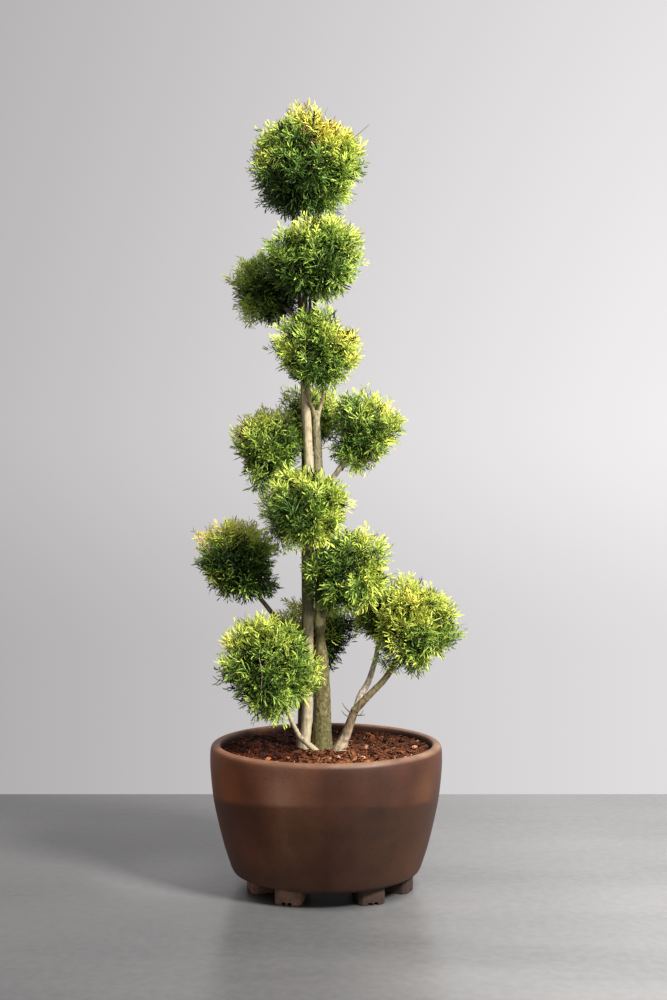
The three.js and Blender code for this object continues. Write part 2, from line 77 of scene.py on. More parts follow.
# centre, reach in sixteen directions round the front view, depth, seed of the lumps, the limbs that
# feed it; then the colouring: the side where the foliage is palest (front-view angle in degrees),
# painted light on the side the key light falls on, how pale it is overall, painted darker on the
# cushions in shade, how strongly that changes across it, and its patches as
# (angle, distance out from 0 to 1, radius, change of tone, goldness): the changes of tone are
# painted light and painted shade, goldness is the foliage's own gold
MASSES = {
    "mass_top": ((-52, 0, 1874), (145, 162, 134, 128, 145, 123, 131, 137, 146, 139, 161, 153, 150, 146, 148, 138), 142, 1, ("stem_left", "stem_back"),
                 42, -0.3, 2.1, [(54, 0.82, 0.4, 0.8, 1.0), (150, 0.92, 0.26, 2.7, 0.0), (180, 0.95, 0.26, 3.0, 0.0), (180, 0.52, 0.27, 2.0, 0.0), (312, 0.92, 0.26, 0.8, 0.1), (238, 0.6, 0.5, -3.0, 0.0), (285, 0.5, 0.35, -1.9, 0.0), (0, 0.0, 0.35, -0.4, 0.0), (0, 0.5, 0.28, 1.2, 0.1), (38, 0.52, 0.32, 1.8, 0.5), (140, 0.5, 0.26, -0.8, 0.0), (315, 0.5, 0.28, 0.8, 0.0), (5, 0.9, 0.3, -1.1, 0.3), (95, 0.95, 0.3, 0.8, 0.7)]),
    "mass_upper_front": ((-23, -75, 1608), (90, 126, 131, 110, 104, 108, 113, 144, 134, 126, 112, 106, 98, 112, 112, 101), 106, 2, ("stem_left", "stem_back", "fork_right", "fork_left"),
                         38, -0.4, 1.8, [(20, 0.95, 0.35, 0.7, 0.4), (120, 0.92, 0.35, 2.0, 0.05), (135, 0.5, 0.25, 1.8, 0.0), (90, 0.5, 0.28, -1.1, 0.0), (180, 0.5, 0.3, -0.8, 0.0), (225, 0.8, 0.4, -0.5, 0.0), (0, 0.5, 0.42, -3.0, 0.0), (0, 0.0, 0.3, -0.7, 0.0), (270, 0.55, 0.32, -0.2, 0.0), (45, 0.5, 0.28, -1.2, 0.0), (185, 0.92, 0.28, 0.7, 0.0)]),
    "mass_upper_back": ((-166, 84, 1553), (98, 93, 92, 98, 98, 113, 102, 88, 57, 68, 89, 96, 88, 95, 101, 100), 94, 3, ("bough_back_top",),
                        155, -1.8, 1.4, [(150, 0.93, 0.34, 3.6, 0.1), (205, 0.97, 0.32, 2.2, 0.0), (240, 0.92, 0.34, 2.6, 0.0), (268, 0.8, 0.3, 3.4, 0.0), (78, 0.55, 0.34, 4.8, 0.0), (0, 0.0, 0.32, -3.6, 0.0), (0, 0.95, 0.36, -4.2, 0.0), (315, 0.55, 0.25, 1.0, 0.0), (318, 0.95, 0.28, -3.0, 0.0)]),
    "mass_neck_front": ((-20, -70, 1385), (103, 116, 72, 82, 106, 108, 112, 124, 121, 110, 107, 108, 116, 106, 105, 104), 101, 4, ("stem_left", "fork_right", "fork_left"),
                        30, 0.0, 1.6, [(33, 0.85, 0.32, 1.0, 0.85), (350, 0.95, 0.28, 0.8, 0.5), (90, 0.9, 0.28, 0.7, 0.1), (160, 0.9, 0.45, 1.4, 0.0), (135, 0.5, 0.25, -0.6, 0.0), (185, 0.5, 0.32, 1.4, 0.0), (0, 0.0, 0.35, -0.8, 0.0), (235, 0.9, 0.35, 2.3, 0.0), (270, 0.7, 0.4, -2.6, 0.0), (45, 0.5, 0.28, -0.9, 0.0), (182, 0.95, 0.28, 1.6, 0.0)]),
    "mass_middle_back": ((-31, 132, 1214), (60, 80, 94, 92, 94, 96, 121, 94, 81, 80, 82, 92, 98, 72, 28, 34), 82, 5, ("bough_back_mid",),
                         60, -0.5, 1.8, [(60, 0.8, 0.4, 0.5, 0.1), (120, 0.5, 0.5, 1.3, 0.0), (90, 0.95, 0.3, -1.6, 0.0), (0, 0.5, 0.3, -1.0, 0.0), (180, 0.8, 0.35, 1.3, 0.0)]),
    "mass_middle_left": ((-152, 20, 1134), (90, 99, 110, 108, 104, 107, 112, 104, 63, 56, 75, 119, 116, 104, 94, 90), 92, 6, ("bough_upper_left",),
                         130, 0.1, 1.2, [(138, 0.85, 0.4, 1.6, 0.5), (95, 0.88, 0.32, 2.2, 0.1), (45, 0.92, 0.3, 0.9, 0.0), (135, 0.5, 0.26, 0.8, 0.2), (180, 0.5, 0.35, -2.8, 0.0), (0, 0.0, 0.3, -1.4, 0.0), (0, 0.85, 0.35, -1.3, 0.0), (45, 0.5, 0.3, 2.3, 0.0), (330, 0.5, 0.3, 0.7, 0.0), (220, 0.88, 0.4, 3.4, 0.0), (315, 0.9, 0.4, 0.8, 0.0)]),
    "mass_middle_right": ((99, 15, 1175), (72, 112, 113, 98, 119, 116, 113, 96, 56, 104, 112, 113, 115, 57, 69, 70), 98, 7, ("bough_mid_right",),
                          42, 0.0, 1.6, [(38, 0.9, 0.36, 1.0, 0.6), (315, 0.8, 0.42, 1.5, 0.1), (315, 0.5, 0.25, 0.9, 0.0), (275, 0.88, 0.35, 2.5, 0.0), (185, 0.6, 0.4, 0.1, 0.0), (0, 0.5, 0.3, -1.6, 0.0), (95, 0.5, 0.28, 1.4, 0.0), (132, 0.5, 0.32, -3.0, 0.0), (0, 0.0, 0.36, -2.0, 0.0)]),
    "mass_centre_front": ((-48, -85, 977), (104, 102, 114, 109, 104, 111, 120, 112, 126, 97, 127, 118, 107, 106, 104, 94), 104, 8, ("stem_left", "stem_right"),
                          42, 0.0, 1.5, [(88, 0.85, 0.5, 1.4, 0.34), (135, 0.85, 0.35, 0.3, 0.15), (186, 0.5, 0.33, -5.0, 0.0), (182, 0.95, 0.28, 2.6, 0.0), (228, 0.75, 0.35, 2.0, 0.0), (0, 0.0, 0.4, -0.6, 0.0), (30, 0.5, 0.3, -0.7, 0.0), (322, 0.92, 0.4, 2.3, 0.0), (275, 0.9, 0.35, 2.3, 0.0), (5, 0.95, 0.3, 0.8, 0.2)]),
    "mass_lower_left": ((-234, 30, 838), (86, 120, 99, 120, 116, 113, 120, 102, 97, 84, 84, 102, 110, 105, 129, 112), 101, 9, ("bough_mid_left",),
                        118, -1.9, 1.5, [(142, 0.97, 0.22, 2.6, 1.0), (118, 0.97, 0.22, 3.6, 0.8), (98, 0.97, 0.21, 4.8, 0.6), (75, 0.98, 0.2, 4.6, 0.45), (52, 0.98, 0.22, 4.0, 0.2), (135, 0.56, 0.28, -3.0, 0.0), (85, 0.6, 0.28, -1.4, 0.0), (48, 0.56, 0.28, -1.3, 0.0), (12, 0.95, 0.32, 3.8, 0.1), (0, 0.5, 0.3, 0.8, 0.0), (180, 0.5, 0.36, -0.1, 0.0), (180, 0.95, 0.3, -0.8, 0.0), (225, 0.88, 0.38, 3.5, 0.0), (228, 0.5, 0.28, 1.3, 0.0), (272, 0.55, 0.35, 2.0, 0.0)]),
    "mass_centre_right": ((61, -60, 811), (95, 76, 126, 121, 126, 112, 108, 114, 112, 114, 115, 117, 118, 107, 98, 90), 99, 10, ("bough_centre_right",),
                          20, -0.1, 1.4, [(60, 0.92, 0.3, 0.7, 0.45), (95, 0.92, 0.3, 0.9, 0.2), (5, 0.88, 0.35, 3.2, 0.05), (45, 0.5, 0.25, 1.0, 0.0), (90, 0.45, 0.3, -1.8, 0.0), (140, 0.5, 0.3, -1.6, 0.0), (190, 0.5, 0.35, 3.3, 0.0), (0, 0.0, 0.3, 0.3, 0.0), (270, 0.5, 0.25, -0.6, 0.0), (280, 0.92, 0.28, 4.0, 0.0), (318, 0.95, 0.28, -0.9, 0.0), (215, 0.95, 0.35, -1.2, 0.0)]),
    "mass_low_right": ((239, -35, 676), (102, 108, 108, 102, 108, 146, 127, 114, 106, 112, 124, 121, 146, 78, 93, 74), 106, 11, ("bough_low_right_outer",),
                       84, 0.3, 1.7, [(95, 0.62, 0.55, 3.5, 0.5), (45, 0.5, 0.28, 0.8, 0.3), (140, 0.5, 0.28, 0.9, 0.2), (38, 0.88, 0.4, 1.4, 0.3), (135, 0.95, 0.3, -1.6, 0.1), (0, 0.0, 0.34, -1.4, 0.0), (315, 0.5, 0.4, -2.3, 0.0), (332, 0.93, 0.3, 1.5, 0.0), (285, 0.92, 0.35, 3.2, 0.0), (262, 0.6, 0.3, 0.9, 0.0), (182, 0.75, 0.42, 3.4, 0.0), (228, 0.95, 0.28, -0.6, 0.0)]),
    "mass_low_right_back": ((150, 40, 700), (64, 70, 76, 84, 92, 92, 85, 80, 82, 86, 70, 68, 100, 86, 72, 66), 66, 12, ("bough_low_right_inner",),
                            90, -1.2, 1.5, [(95, 0.9, 0.4, 0.5, 0.0), (200, 0.92, 0.38, 3.0, 0.0), (140, 0.5, 0.3, -1.0, 0.0), (0, 0.5, 0.3, 0.8, 0.0)]),
    "mass_low_left": ((-146, -100, 581), (130, 123, 122, 130, 147, 129, 145, 119, 118, 82, 105, 139, 141, 142, 122, 121), 119, 13, ("bough_low_left",),
                      105, -0.1, 1.1, [(140, 0.92, 0.32, 0.9, 0.5), (90, 0.92, 0.3, 1.8, 0.1), (60, 0.5, 0.35, 0.4, 0.0), (100, 0.4, 0.3, -0.4, 0.0), (0, 0.5, 0.3, -0.4, 0.0), (355, 0.95, 0.3, 0.4, 0.2), (315, 0.92, 0.32, 1.0, 0.2), (178, 0.45, 0.35, -0.9, 0.0), (180, 0.95, 0.3, -1.7, 0.0), (225, 0.9, 0.4, 0.6, 0.0), (225, 0.5, 0.28, 1.6, 0.0), (270, 0.85, 0.35, 1.6, 0.0), (30, 0.95, 0.3, 0.5, 0.1)]),
    "mass_low_back": ((-12, 112, 635), (67, 90, 90, 88, 90, 106, 138, 138, 100, 90, 88, 89, 90, 102, 59, 65), 90, 14, ("bough_back_low",),
                      168, -1.4, 2.4, [(142, 0.82, 0.5, 7.2, 0.5), (180, 0.45, 0.35, 3.4, 0.0), (90, 0.5, 0.3, 3.0, 0.0), (45, 0.5, 0.3, 2.6, 0.0), (0, 0.6, 0.4, -3.6, 0.0), (270, 0.8, 0.35, -3.4, 0.0), (315, 0.5, 0.3, -2.8, 0.0)]),
}
# tufts that stand out or hang, and dips: direction from the mass's centre, how far past its surface, cone in degrees
TUFTS = {
    "mass_top": [((-0.95, 0.0, -0.3), 8, 12), ((0.05, 0.0, 1.0), 3, 9), ((0.97, 0.0, -0.02), 7, 10), ((-0.38, 0.0, -0.92), -6, 12), ((0.92, 0.0, -0.38), -5, 12)],
    "mass_upper_front": [((0.25, 0.1, 0.97), 9, 14), ((1.0, 0.0, 0.0), -5, 12)],
    "mass_upper_back": [((-0.7, 0.0, 0.7), 8, 10), ((-0.92, 0.0, 0.39), 8, 10), ((-0.7, 0.0, -0.7), 7, 12), ((0.78, -0.3, -0.55), 14, 20)],
    "mass_neck_front": [((0.38, 0.0, 0.92), -10, 13), ((-0.92, 0.0, 0.38), 7, 12)],
    "mass_middle_back": [((0.81, 0.0, -0.58), -16, 16)],
    "mass_middle_left": [((0.3, 0.0, -0.95), 8, 14), ((0.94, -0.33, 0.1), 17, 20), ((0.9, -0.35, -0.35), 20, 16)],
    "mass_middle_right": [((-0.92, 0.0, -0.38), 15, 10), ((-0.29, 0.0, -0.96), -14, 12), ((0.75, 0.0, 0.66), 6, 14), ((0.1, 0.0, 1.0), 6, 10)],
    "mass_centre_front": [((0.9, 0.0, 0.3), 8, 12), ((-0.2, 0.0, -0.97), 7, 12), ((1.0, 0.0, 0.0), -6, 10), ((-1.0, 0.0, 0.0), 8, 12), ((-0.92, 0.0, -0.38), -6, 10)],
    "mass_lower_left": [((0.9, -0.1, -0.43), 8, 12), ((0.74, -0.1, 0.67), -15, 12), ((-0.15, -0.1, -0.98), 7, 12)],
    "mass_centre_right": [((1.0, 0.0, 0.0), 7, 10), ((0.92, 0.0, 0.38), -6, 10)],
    "mass_low_right": [((-0.73, -0.1, -0.68), 38, 14), ((0.96, 0.0, -0.28), -11, 13), ((0.93, 0.0, 0.36), -9, 12), ((0.7, 0.0, 0.7), -6, 12), ((0.15, -0.1, -0.98), 7, 9), ((-0.38, 0.0, 0.92), 9, 12)],
    "mass_low_left": [((0.28, -0.2, -0.94), 17, 12), ((0.98, -0.2, 0.12), 22, 12), ((0.93, -0.2, -0.36), 26, 14), ((0.74, -0.15, -0.66), 24, 13), ((0.1, 0.0, 1.0), 6, 16), ((-0.93, -0.1, -0.36), -14, 12)],
    "mass_low_back": [((-0.94, -0.1, 0.25), 8, 22), ((-0.75, -0.3, 0.6), 9, 14), ((1.0, 0.0, 0.0), -9, 14)],
}
LUMPS = 0.055


# ------------------------------------------------------------------ small helpers
def unit(v):
    return v / np.maximum(np.linalg.norm(v, axis=-1, keepdims=True), 1e-12)


def linear(rgb):
    c = np.array(rgb, float) / 255.0
    c = np.where(c <= 0.04045, c / 12.92, ((c + 0.055) / 1.055) ** 2.4)
    return (float(c[0]), float(c[1]), float(c[2]), 1.0)


def hashed(ix, iy, iz):
    n = (ix.astype(np.int64) * 73856093) ^ (iy.astype(np.int64) * 19349663) ^ (iz.astype(np.int64) * 83492791)
    n &= 0xFFFFFFFF
    n = ((n ^ (n >> 13)) * 1274126177) & 0xFFFFFFFF
    return ((n ^ (n >> 16)) & 0xFFFF) / 65535.0


def noise(p):
    """Smooth lattice noise from 0 to 1 at points p (n, 3)."""
    f = np.floor(p)
    i, t = f.astype(np.int64), p - f
    t = t * t * (3 - 2 * t)
    out = 0.0
    for dx in (0, 1):
        wx = t[:, 0] if dx else 1 - t[:, 0]
        for dy in (0, 1):
            wy = t[:, 1] if dy else 1 - t[:, 1]
            for dz in (0, 1):
                wz = t[:, 2] if dz else 1 - t[:, 2]
                out = out + wx * wy * wz * hashed(i[:, 0] + dx, i[:, 1] + dy, i[:, 2] + dz)
    return out


def layered(p, octaves=3):
    total, amount, weight = 0.0, 0.0, 1.0
    for k in range(octaves):
        total = total + weight * noise(p * 2.0**k + 17.3 * k)
        amount += weight
        weight *= 0.5
    return total / amount


def make_mesh(name, verts, faces, materials, index=None, smooth=False, sides=3, marks=None):
    """A mesh object from arrays: verts (n, 3) in metres, faces (m, sides)."""
    mesh = bpy.data.meshes.new(name)
    verts = np.ascontiguousarray(verts, np.float32)
    faces = np.ascontiguousarray(faces, np.int32)
    m = len(faces)
    mesh.vertices.add(len(verts))
    mesh.vertices.foreach_set("co", verts.ravel())
    mesh.loops.add(m * sides)
    mesh.loops.foreach_set("vertex_index", faces.ravel())
    mesh.polygons.add(m)
    mesh.polygons.foreach_set("loop_start", np.arange(0, m * sides, sides, dtype=np.int32))
    for mat in materials:
        mesh.materials.append(mat)
    if index is not None:
        mesh.polygons.foreach_set("material_index", np.ascontiguousarray(index, np.int32))
    mesh.polygons.foreach_set("use_smooth", np.full(m, bool(smooth)))
    if marks is not None:
        mesh.attributes.new("mark", "FLOAT", "POINT").data.foreach_set("value", np.ascontiguousarray(marks, np.float32))
    mesh.update(calc_edges=True)
    obj = bpy.data.objects.new(name, mesh)
    bpy.context.scene.collection.objects.link(obj)
    return obj


def place(obj, slot_name, *nodes):
    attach(obj, "root")
    if nodes:
        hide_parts(*nodes)
    return obj


# ------------------------------------------------------------------ camera, light, floor
def aim(obj, target):
    obj.rotation_euler = (Vector(target) - obj.location).to_track_quat("-Z", "Y").to_euler()


cam = bpy.data.objects.new("camera", bpy.data.cameras.new("camera"))
cam.location = (0.019, -3.390, 0.995)
cam.rotation_euler = (math.radians(90), 0, 0)
cam.data.lens = 46.94
cam.data.sensor_width = 36
cam.data.clip_start, cam.data.clip_end = 0.05, 60
bpy.context.scene.collection.objects.link(cam)
bpy.context.scene.camera = cam

bpy.context.scene.view_settings.view_transform = "Standard"
bpy.context.scene.view_settings.look = "None"


def area_light(name, at, target, size, watts, colour=(1, 1, 1)):
    data = bpy.data.lights.new(name, "AREA")
    data.shape, data.size, data.energy, data.color = "SQUARE", size, watts, colour
    obj = bpy.data.objects.new(name, data)
    obj.location = at
    aim(obj, target)
    bpy.context.scene.collection.objects.link(obj)
    return obj


area_light("key", (2.45, -2.4, 3.1), (0, 0, 1.0), 0.8, 370, (1.0, 0.985, 0.95))
area_light("rim", (-2.2, 1.6, 3.0), (0, 0, 1.2), 1.0, 30, (1.0, 1.0, 1.0))

# a pale backdrop all round, a little brighter to the right and dimmer overhead and behind the camera
world = bpy.data.worlds.new("studio")
bpy.context.scene.world = world
world.use_nodes = True
wt = world.node_tree
way = wt.nodes.new("ShaderNodeTexCoord")
split = wt.nodes.new("ShaderNodeSeparateXYZ")
wt.links.new(way.outputs["Generated"], split.inputs[0])


def world_math(how, a, b, c=None):
    n = wt.nodes.new("ShaderNodeMath")
    n.operation = how
    for k, value in enumerate((a, b, c)):
        if value is None:
            continue
        if hasattr(value, "links"):
            wt.links.new(value, n.inputs[k])
        else:
            n.inputs[k].default_value = value
    return n.outputs[0]


def world_range(value, low, high, to_low, to_high):
    n = wt.nodes.new("ShaderNodeMapRange")
    n.interpolation_type = "SMOOTHSTEP"
    wt.links.new(value, n.inputs["Value"])
    for key, v in (("From Min", low), ("From Max", high), ("To Min", to_low), ("To Max", to_high)):
        n.inputs[key].default_value = v
    return n.outputs["Result"]


across_w = world_range(split.outputs[0], -0.55, 0.5, 0.42, 1.0)
high_w = world_range(split.outputs[2], -0.1, 0.75, 1.0, 0.75)
back_w = world_range(split.outputs[1], -0.4, 0.7, 0.85, 1.0)
low_w = world_range(split.outputs[2], -0.12, 0.07, 0.82, 1.0)
wt.links.new(world_math("MULTIPLY", world_math("MULTIPLY", world_math("MULTIPLY", across_w, high_w), back_w), low_w), wt.nodes["Background"].inputs["Strength"])
wt.nodes["Background"].inputs["Color"].default_value = (1.0, 0.972, 0.98, 1.0)


# ------------------------------------------------------------------ materials
class Nodes:
    """Builds a node material a step at a time."""

    def __init__(self, name):
        self.mat = bpy.data.materials.new(name)
        self.mat.use_nodes = True
        self.tree = self.mat.node_tree
        self.bsdf = self.tree.nodes["Principled BSDF"]
        self.where = self.tree.nodes.new("ShaderNodeTexCoord").outputs["Object"]

    def new(self, kind, **settings):
        node = self.tree.nodes.new(kind)
        for key, value in settings.items():
            setattr(node, key, value)
        return node

    def link(self, a, b):
        self.tree.links.new(a, b)
        return self

    def scaled(self, vector, xyz):
        n = self.new("ShaderNodeMapping")
        n.inputs["Scale"].default_value = xyz
        self.link(vector, n.inputs["Vector"])
        return n.outputs["Vector"]

    def noise(self, scale, detail=4.0, roughness=0.55, vector=None, distortion=0.0):
        n = self.new("ShaderNodeTexNoise")
        n.inputs["Scale"].default_value = scale
        n.inputs["Detail"].default_value = detail
        n.inputs["Roughness"].default_value = roughness
        n.inputs["Distortion"].default_value = distortion
        self.link(vector or self.where, n.inputs["Vector"])
        return n.outputs["Fac"]

    def ramp(self, fac, stops, smooth=False):
        n = self.new("ShaderNodeValToRGB")
        n.color_ramp.interpolation = "EASE" if smooth else "LINEAR"
        e = n.color_ramp.elements
        while len(e) < len(stops):
            e.new(0.5)
        for k, (at, colour) in enumerate(stops):
            e[k].position = at
            e[k].color = colour if len(colour) == 4 else (*colour, 1)
        self.link(fac, n.inputs["Fac"])
        return n.outputs["Color"]

    def mix(self, fac, a, b, how="MIX"):
        n = self.new("ShaderNodeMix", data_type="RGBA", blend_type=how)
        for value, socket in ((fac, n.inputs[0]), (a, n.inputs[6]), (b, n.inputs[7])):
            if hasattr(value, "links"):
                self.link(value, socket)
            else:
                socket.default_value = value
        return n.outputs[2]

    def math(self, how, a, b=0.5, c=None, clamp=False):
        n = self.new("ShaderNodeMath", operation=how, use_clamp=clamp)
        for k, value in enumerate((a, b, c)):
            if value is None:
                continue
            if hasattr(value, "links"):
                self.link(value, n.inputs[k])
            else:
                n.inputs[k].default_value = value
        return n.outputs[0]

    def bump(self, height, strength, distance, before=None):
        n = self.new("ShaderNodeBump")
        n.inputs["Strength"].default_value = strength
        n.inputs["Distance"].default_value = distance
        self.link(height, n.inputs["Height"])
        if before is not None:
            self.link(before, n.inputs["Normal"])
        return n.outputs["Normal"]

    def blob(self, at, reach_m):
        """1 at a point in metres, falling smoothly to 0 at reach_m from it."""
        gap = self.new("ShaderNodeVectorMath", operation="DISTANCE")
        self.link(self.where, gap.inputs[0])
        gap.inputs[1].default_value = at
        n = self.new("ShaderNodeMapRange", interpolation_type="SMOOTHSTEP")
        for key, value in (("From Min", reach_m), ("From Max", 0.0)):
            n.inputs[key].default_value = value
        self.link(gap.outputs["Value"], n.inputs["Value"])
        return n.outputs["Result"]

    def set(self, **values):
        for key, value in values.items():
            socket = self.bsdf.inputs[key.replace("_", " ")]
            if hasattr(value, "links"):
                self.link(value, socket)
            else:
                socket.default_value = value
        return self.mat


def floor_material():
    n = Nodes("studio_floor")
    cloud = n.noise(1.3, 3.0, 0.5, n.scaled(n.where, (0.6, 2.2, 1.0)))
    fine = n.noise(42.0, 3.0, 0.6)
    base = n.ramp(cloud, [(0.3, linear((112, 112, 113))), (0.7, linear((138, 137, 137)))])
    base = n.mix(0.25, base, n.ramp(fine, [(0.3, linear((106, 106, 106))), (0.7, linear((144, 144, 143)))]))
    xyz = n.new("ShaderNodeSeparateXYZ")
    n.link(n.where, xyz.inputs[0])
    # the floor is painted darker to the left and lighter to the right: painted shade and painted light
    painted_shading_across = n.ramp(n.math("MULTIPLY_ADD", xyz.outputs[0], 0.4, 0.5), [(0.2, (0.6, 0.6, 0.6)), (0.5, (0.69, 0.69, 0.69)), (0.62, (1.0, 1.0, 1.0)), (0.8, (1.27, 1.27, 1.27))])
    base = n.mix(1.0, base, painted_shading_across, "MULTIPLY")
    # a painted shadow darkens the floor under the pot
    out = n.math("SQRT", n.math("ADD", n.math("MULTIPLY", xyz.outputs[0], xyz.outputs[0]), n.math("MULTIPLY", xyz.outputs[1], xyz.outputs[1])))
    base = n.mix(1.0, base, n.ramp(out, [(0.185, (0.2, 0.2, 0.2)), (0.245, (1.0, 1.0, 1.0))]), "MULTIPLY")
    # a painted light patch lightens the floor left of the pot, where the pot's cast shadow falls
    base = n.mix(n.math("MULTIPLY", n.blob((-0.4, 0.09, 0.0), 0.3), 0.8), base, n.mix(1.0, base, (1.9, 1.9, 1.9, 1.0), "MULTIPLY"))
    rough = n.ramp(cloud, [(0.3, (0.24, 0.24, 0.24)), (0.7, (0.36, 0.36, 0.36))])
    return n.set(Base_Color=base, Roughness=rough, Specular_IOR_Level=0.5)


def pot_material():
    """Satin brown earthenware: a redder band above a wavering line, partly a dipped wash and partly painted reflection,
    and a darker body below.
    """
    n = Nodes("earthenware")
    xyz = n.new("ShaderNodeSeparateXYZ")
    n.link(n.where, xyz.inputs[0])
    x2 = n.math("MULTIPLY", xyz.outputs[0], xyz.outputs[0])
    y2 = n.math("MULTIPLY", xyz.outputs[1], xyz.outputs[1])
    turn = n.math("DIVIDE", n.math("SUBTRACT", y2, x2), n.math("ADD", n.math("ADD", x2, y2), 1e-4))
    # the redder band above this wavering line is partly a dipped wash and partly painted reflection
    waver = n.math("MULTIPLY_ADD", n.noise(6.0, 3.0), 0.022, -0.011)
    line = n.math("ADD", n.math("MULTIPLY_ADD", turn, 0.014, 0.253), waver)
    above = n.math("MULTIPLY_ADD", n.math("SUBTRACT", xyz.outputs[2], line), 62.0, 0.5, clamp=True)
    soft = n.new("ShaderNodeMapRange", interpolation_type="SMOOTHSTEP")
    n.link(above, soft.inputs["Value"])
    cloud = n.noise(5.5, 4.0, 0.6)
    upper = n.ramp(cloud, [(0.28, linear((60, 36, 25))), (0.5, linear((76, 45, 33))), (0.7, linear((94, 54, 34)))])
    lower = n.ramp(cloud, [(0.3, linear((42, 25, 16))), (0.5, linear((53, 32, 21))), (0.72, linear((70, 43, 29)))])
    wall = n.mix(soft.outputs["Result"], lower, upper)
    # the rim is painted paler along its top and outer edge, a painted highlight where light catches it, redder and
    # darker to the left as painted shade
    rim = n.new("ShaderNodeMapRange", interpolation_type="SMOOTHSTEP")
    for key, value in (("From Min", 0.353), ("From Max", 0.367)):
        rim.inputs[key].default_value = value
    n.link(xyz.outputs[2], rim.inputs["Value"])
    rim_painted_light = n.ramp(n.noise(16.0, 5.0, 0.65), [(0.25, linear((110, 80, 62))), (0.6, linear((149, 114, 92))), (0.8, linear((172, 137, 114)))])
    rim_painted_light = n.mix(1.0, rim_painted_light, n.ramp(n.math("MULTIPLY_ADD", xyz.outputs[0], 1.6667, 0.5), [(0.12, (0.96, 0.7, 0.5)), (0.42, (1.0, 1.0, 1.0))]), "MULTIPLY")
    for at, reach_m, colour, share in (((-0.235, -0.175, 0.27), 0.085, (100, 58, 36), 0.5), ((-0.115, -0.272, 0.275), 0.075, (104, 70, 54), 0.5),
                                       ((0.03, -0.298, 0.29), 0.09, (62, 40, 32), 0.6), ((0.245, -0.16, 0.28), 0.075, (106, 70, 46), 0.6)):
        wall = n.mix(n.math("MULTIPLY", n.math("MULTIPLY", n.blob(at, reach_m), share), soft.outputs["Result"]), wall, linear(colour))
    # the wall's front is painted much lighter at the left and darker in the middle than at the sides: painted light and
    # painted shade
    front = n.math("MULTIPLY_ADD", xyz.outputs[1], -7.0, 0.8, clamp=True)
    place_x = n.math("MULTIPLY_ADD", xyz.outputs[0], 1.6667, 0.5)
    painted_light_upper = n.ramp(place_x, [(0.0, (2.4, 1.85, 0.9)), (0.133, (2.65, 2.0, 0.8)), (0.31, (2.1, 2.6, 2.8)), (0.5, (0.64, 0.57, 0.52)), (0.6, (0.56, 0.51, 0.46)), (0.75, (0.76, 0.79, 0.82)), (0.9, (0.85, 0.78, 0.62)), (1.0, (0.82, 0.71, 0.57))])
    painted_light_lower = n.ramp(place_x, [(0.0, (2.5, 1.6, 0.8)), (0.133, (2.75, 1.7, 0.86)), (0.333, (2.5, 2.55, 2.4)), (0.5, (0.85, 0.66, 0.56)), (0.6, (0.63, 0.57, 0.5)), (0.73, (0.81, 0.81, 0.78)), (0.86, (1.25, 1.2, 1.1)), (1.0, (1.35, 1.25, 1.12))])
    painted_light_across = n.mix(soft.outputs["Result"], painted_light_lower, painted_light_upper)
    wall = n.mix(n.math("MULTIPLY", front, 0.9), wall, n.mix(1.0, wall, painted_light_across, "MULTIPLY"))
    body = n.mix(n.math("MULTIPLY", rim.outputs["Result"], 0.85), wall, rim_painted_light)
    # the inside below the rim is painted a plain dark brown: painted shade inside the pot
    radius = n.math("SQRT", n.math("ADD", x2, y2))
    inside = n.new("ShaderNodeMapRange", interpolation_type="SMOOTHSTEP")
    for key, value in (("From Min", 0.2775), ("From Max", 0.2745)):
        inside.inputs[key].default_value = value
    n.link(radius, inside.inputs["Value"])
    high = n.math("GREATER_THAN", xyz.outputs[2], 0.31)
    body = n.mix(n.math("MULTIPLY", n.math("MULTIPLY", inside.outputs["Result"], high), 0.8), body, linear((66, 40, 28)))
    specks = n.ramp(n.noise(210.0, 2.0, 0.5), [(0.28, (0.72, 0.72, 0.72)), (0.42, (1, 1, 1))])
    body = n.mix(1.0, body, specks, "MULTIPLY")
    rough = n.ramp(cloud, [(0.3, (0.44, 0.44, 0.44)), (0.7, (0.56, 0.56, 0.56))])
    height = n.mix(0.35, n.noise(24.0, 3.0), n.noise(190.0, 3.0))
    return n.set(Base_Color=body, Roughness=rough, Specular_IOR_Level=0.26, Normal=n.bump(height, 0.12, 0.004))


def feet_material():
    n = Nodes("terracotta")
    cloud = n.noise(38.0, 5.0, 0.6)
    base = n.ramp(cloud, [(0.25, linear((48, 35, 28))), (0.5, linear((64, 47, 38))), (0.8, linear((84, 63, 52)))])
    xyz = n.new("ShaderNodeSeparateXYZ")
    n.link(n.where, xyz.inputs[0])
    # the left feet are painted lighter and the right ones darker: painted light and painted shade
    painted_shading_by_x = n.ramp(n.math("MULTIPLY_ADD", xyz.outputs[0], 2.0, 0.5), [(0.05, (4.6, 3.7, 3.4)), (0.3, (4.0, 4.0, 3.8)), (0.62, (0.86, 0.79, 0.72)), (0.75, (0.73, 0.6, 0.53)), (0.95, (0.7, 0.56, 0.48))])
    base = n.mix(1.0, base, painted_shading_by_x, "MULTIPLY")
    grit = n.ramp(n.noise(420.0, 2.0), [(0.3, (0.75, 0.75, 0.75)), (0.5, (1, 1, 1))])
    height = n.mix(0.5, n.noise(60.0, 4.0), n.noise(420.0, 2.0))
    return n.set(Base_Color=n.mix(1.0, base, grit, "MULTIPLY"), Roughness=0.85, Normal=n.bump(height, 0.35, 0.003))


def soil_material():
    n = Nodes("damp_soil")
    cloud = n.noise(60.0, 6.0, 0.7)
    base = n.ramp(cloud, [(0.25, linear((30, 18, 14))), (0.5, linear((52, 31, 25))), (0.8, linear((84, 50, 40)))])
    return n.set(Base_Color=base, Roughness=0.95, Specular_IOR_Level=0.22, Normal=n.bump(n.noise(260.0, 5.0, 0.7), 0.8, 0.006))


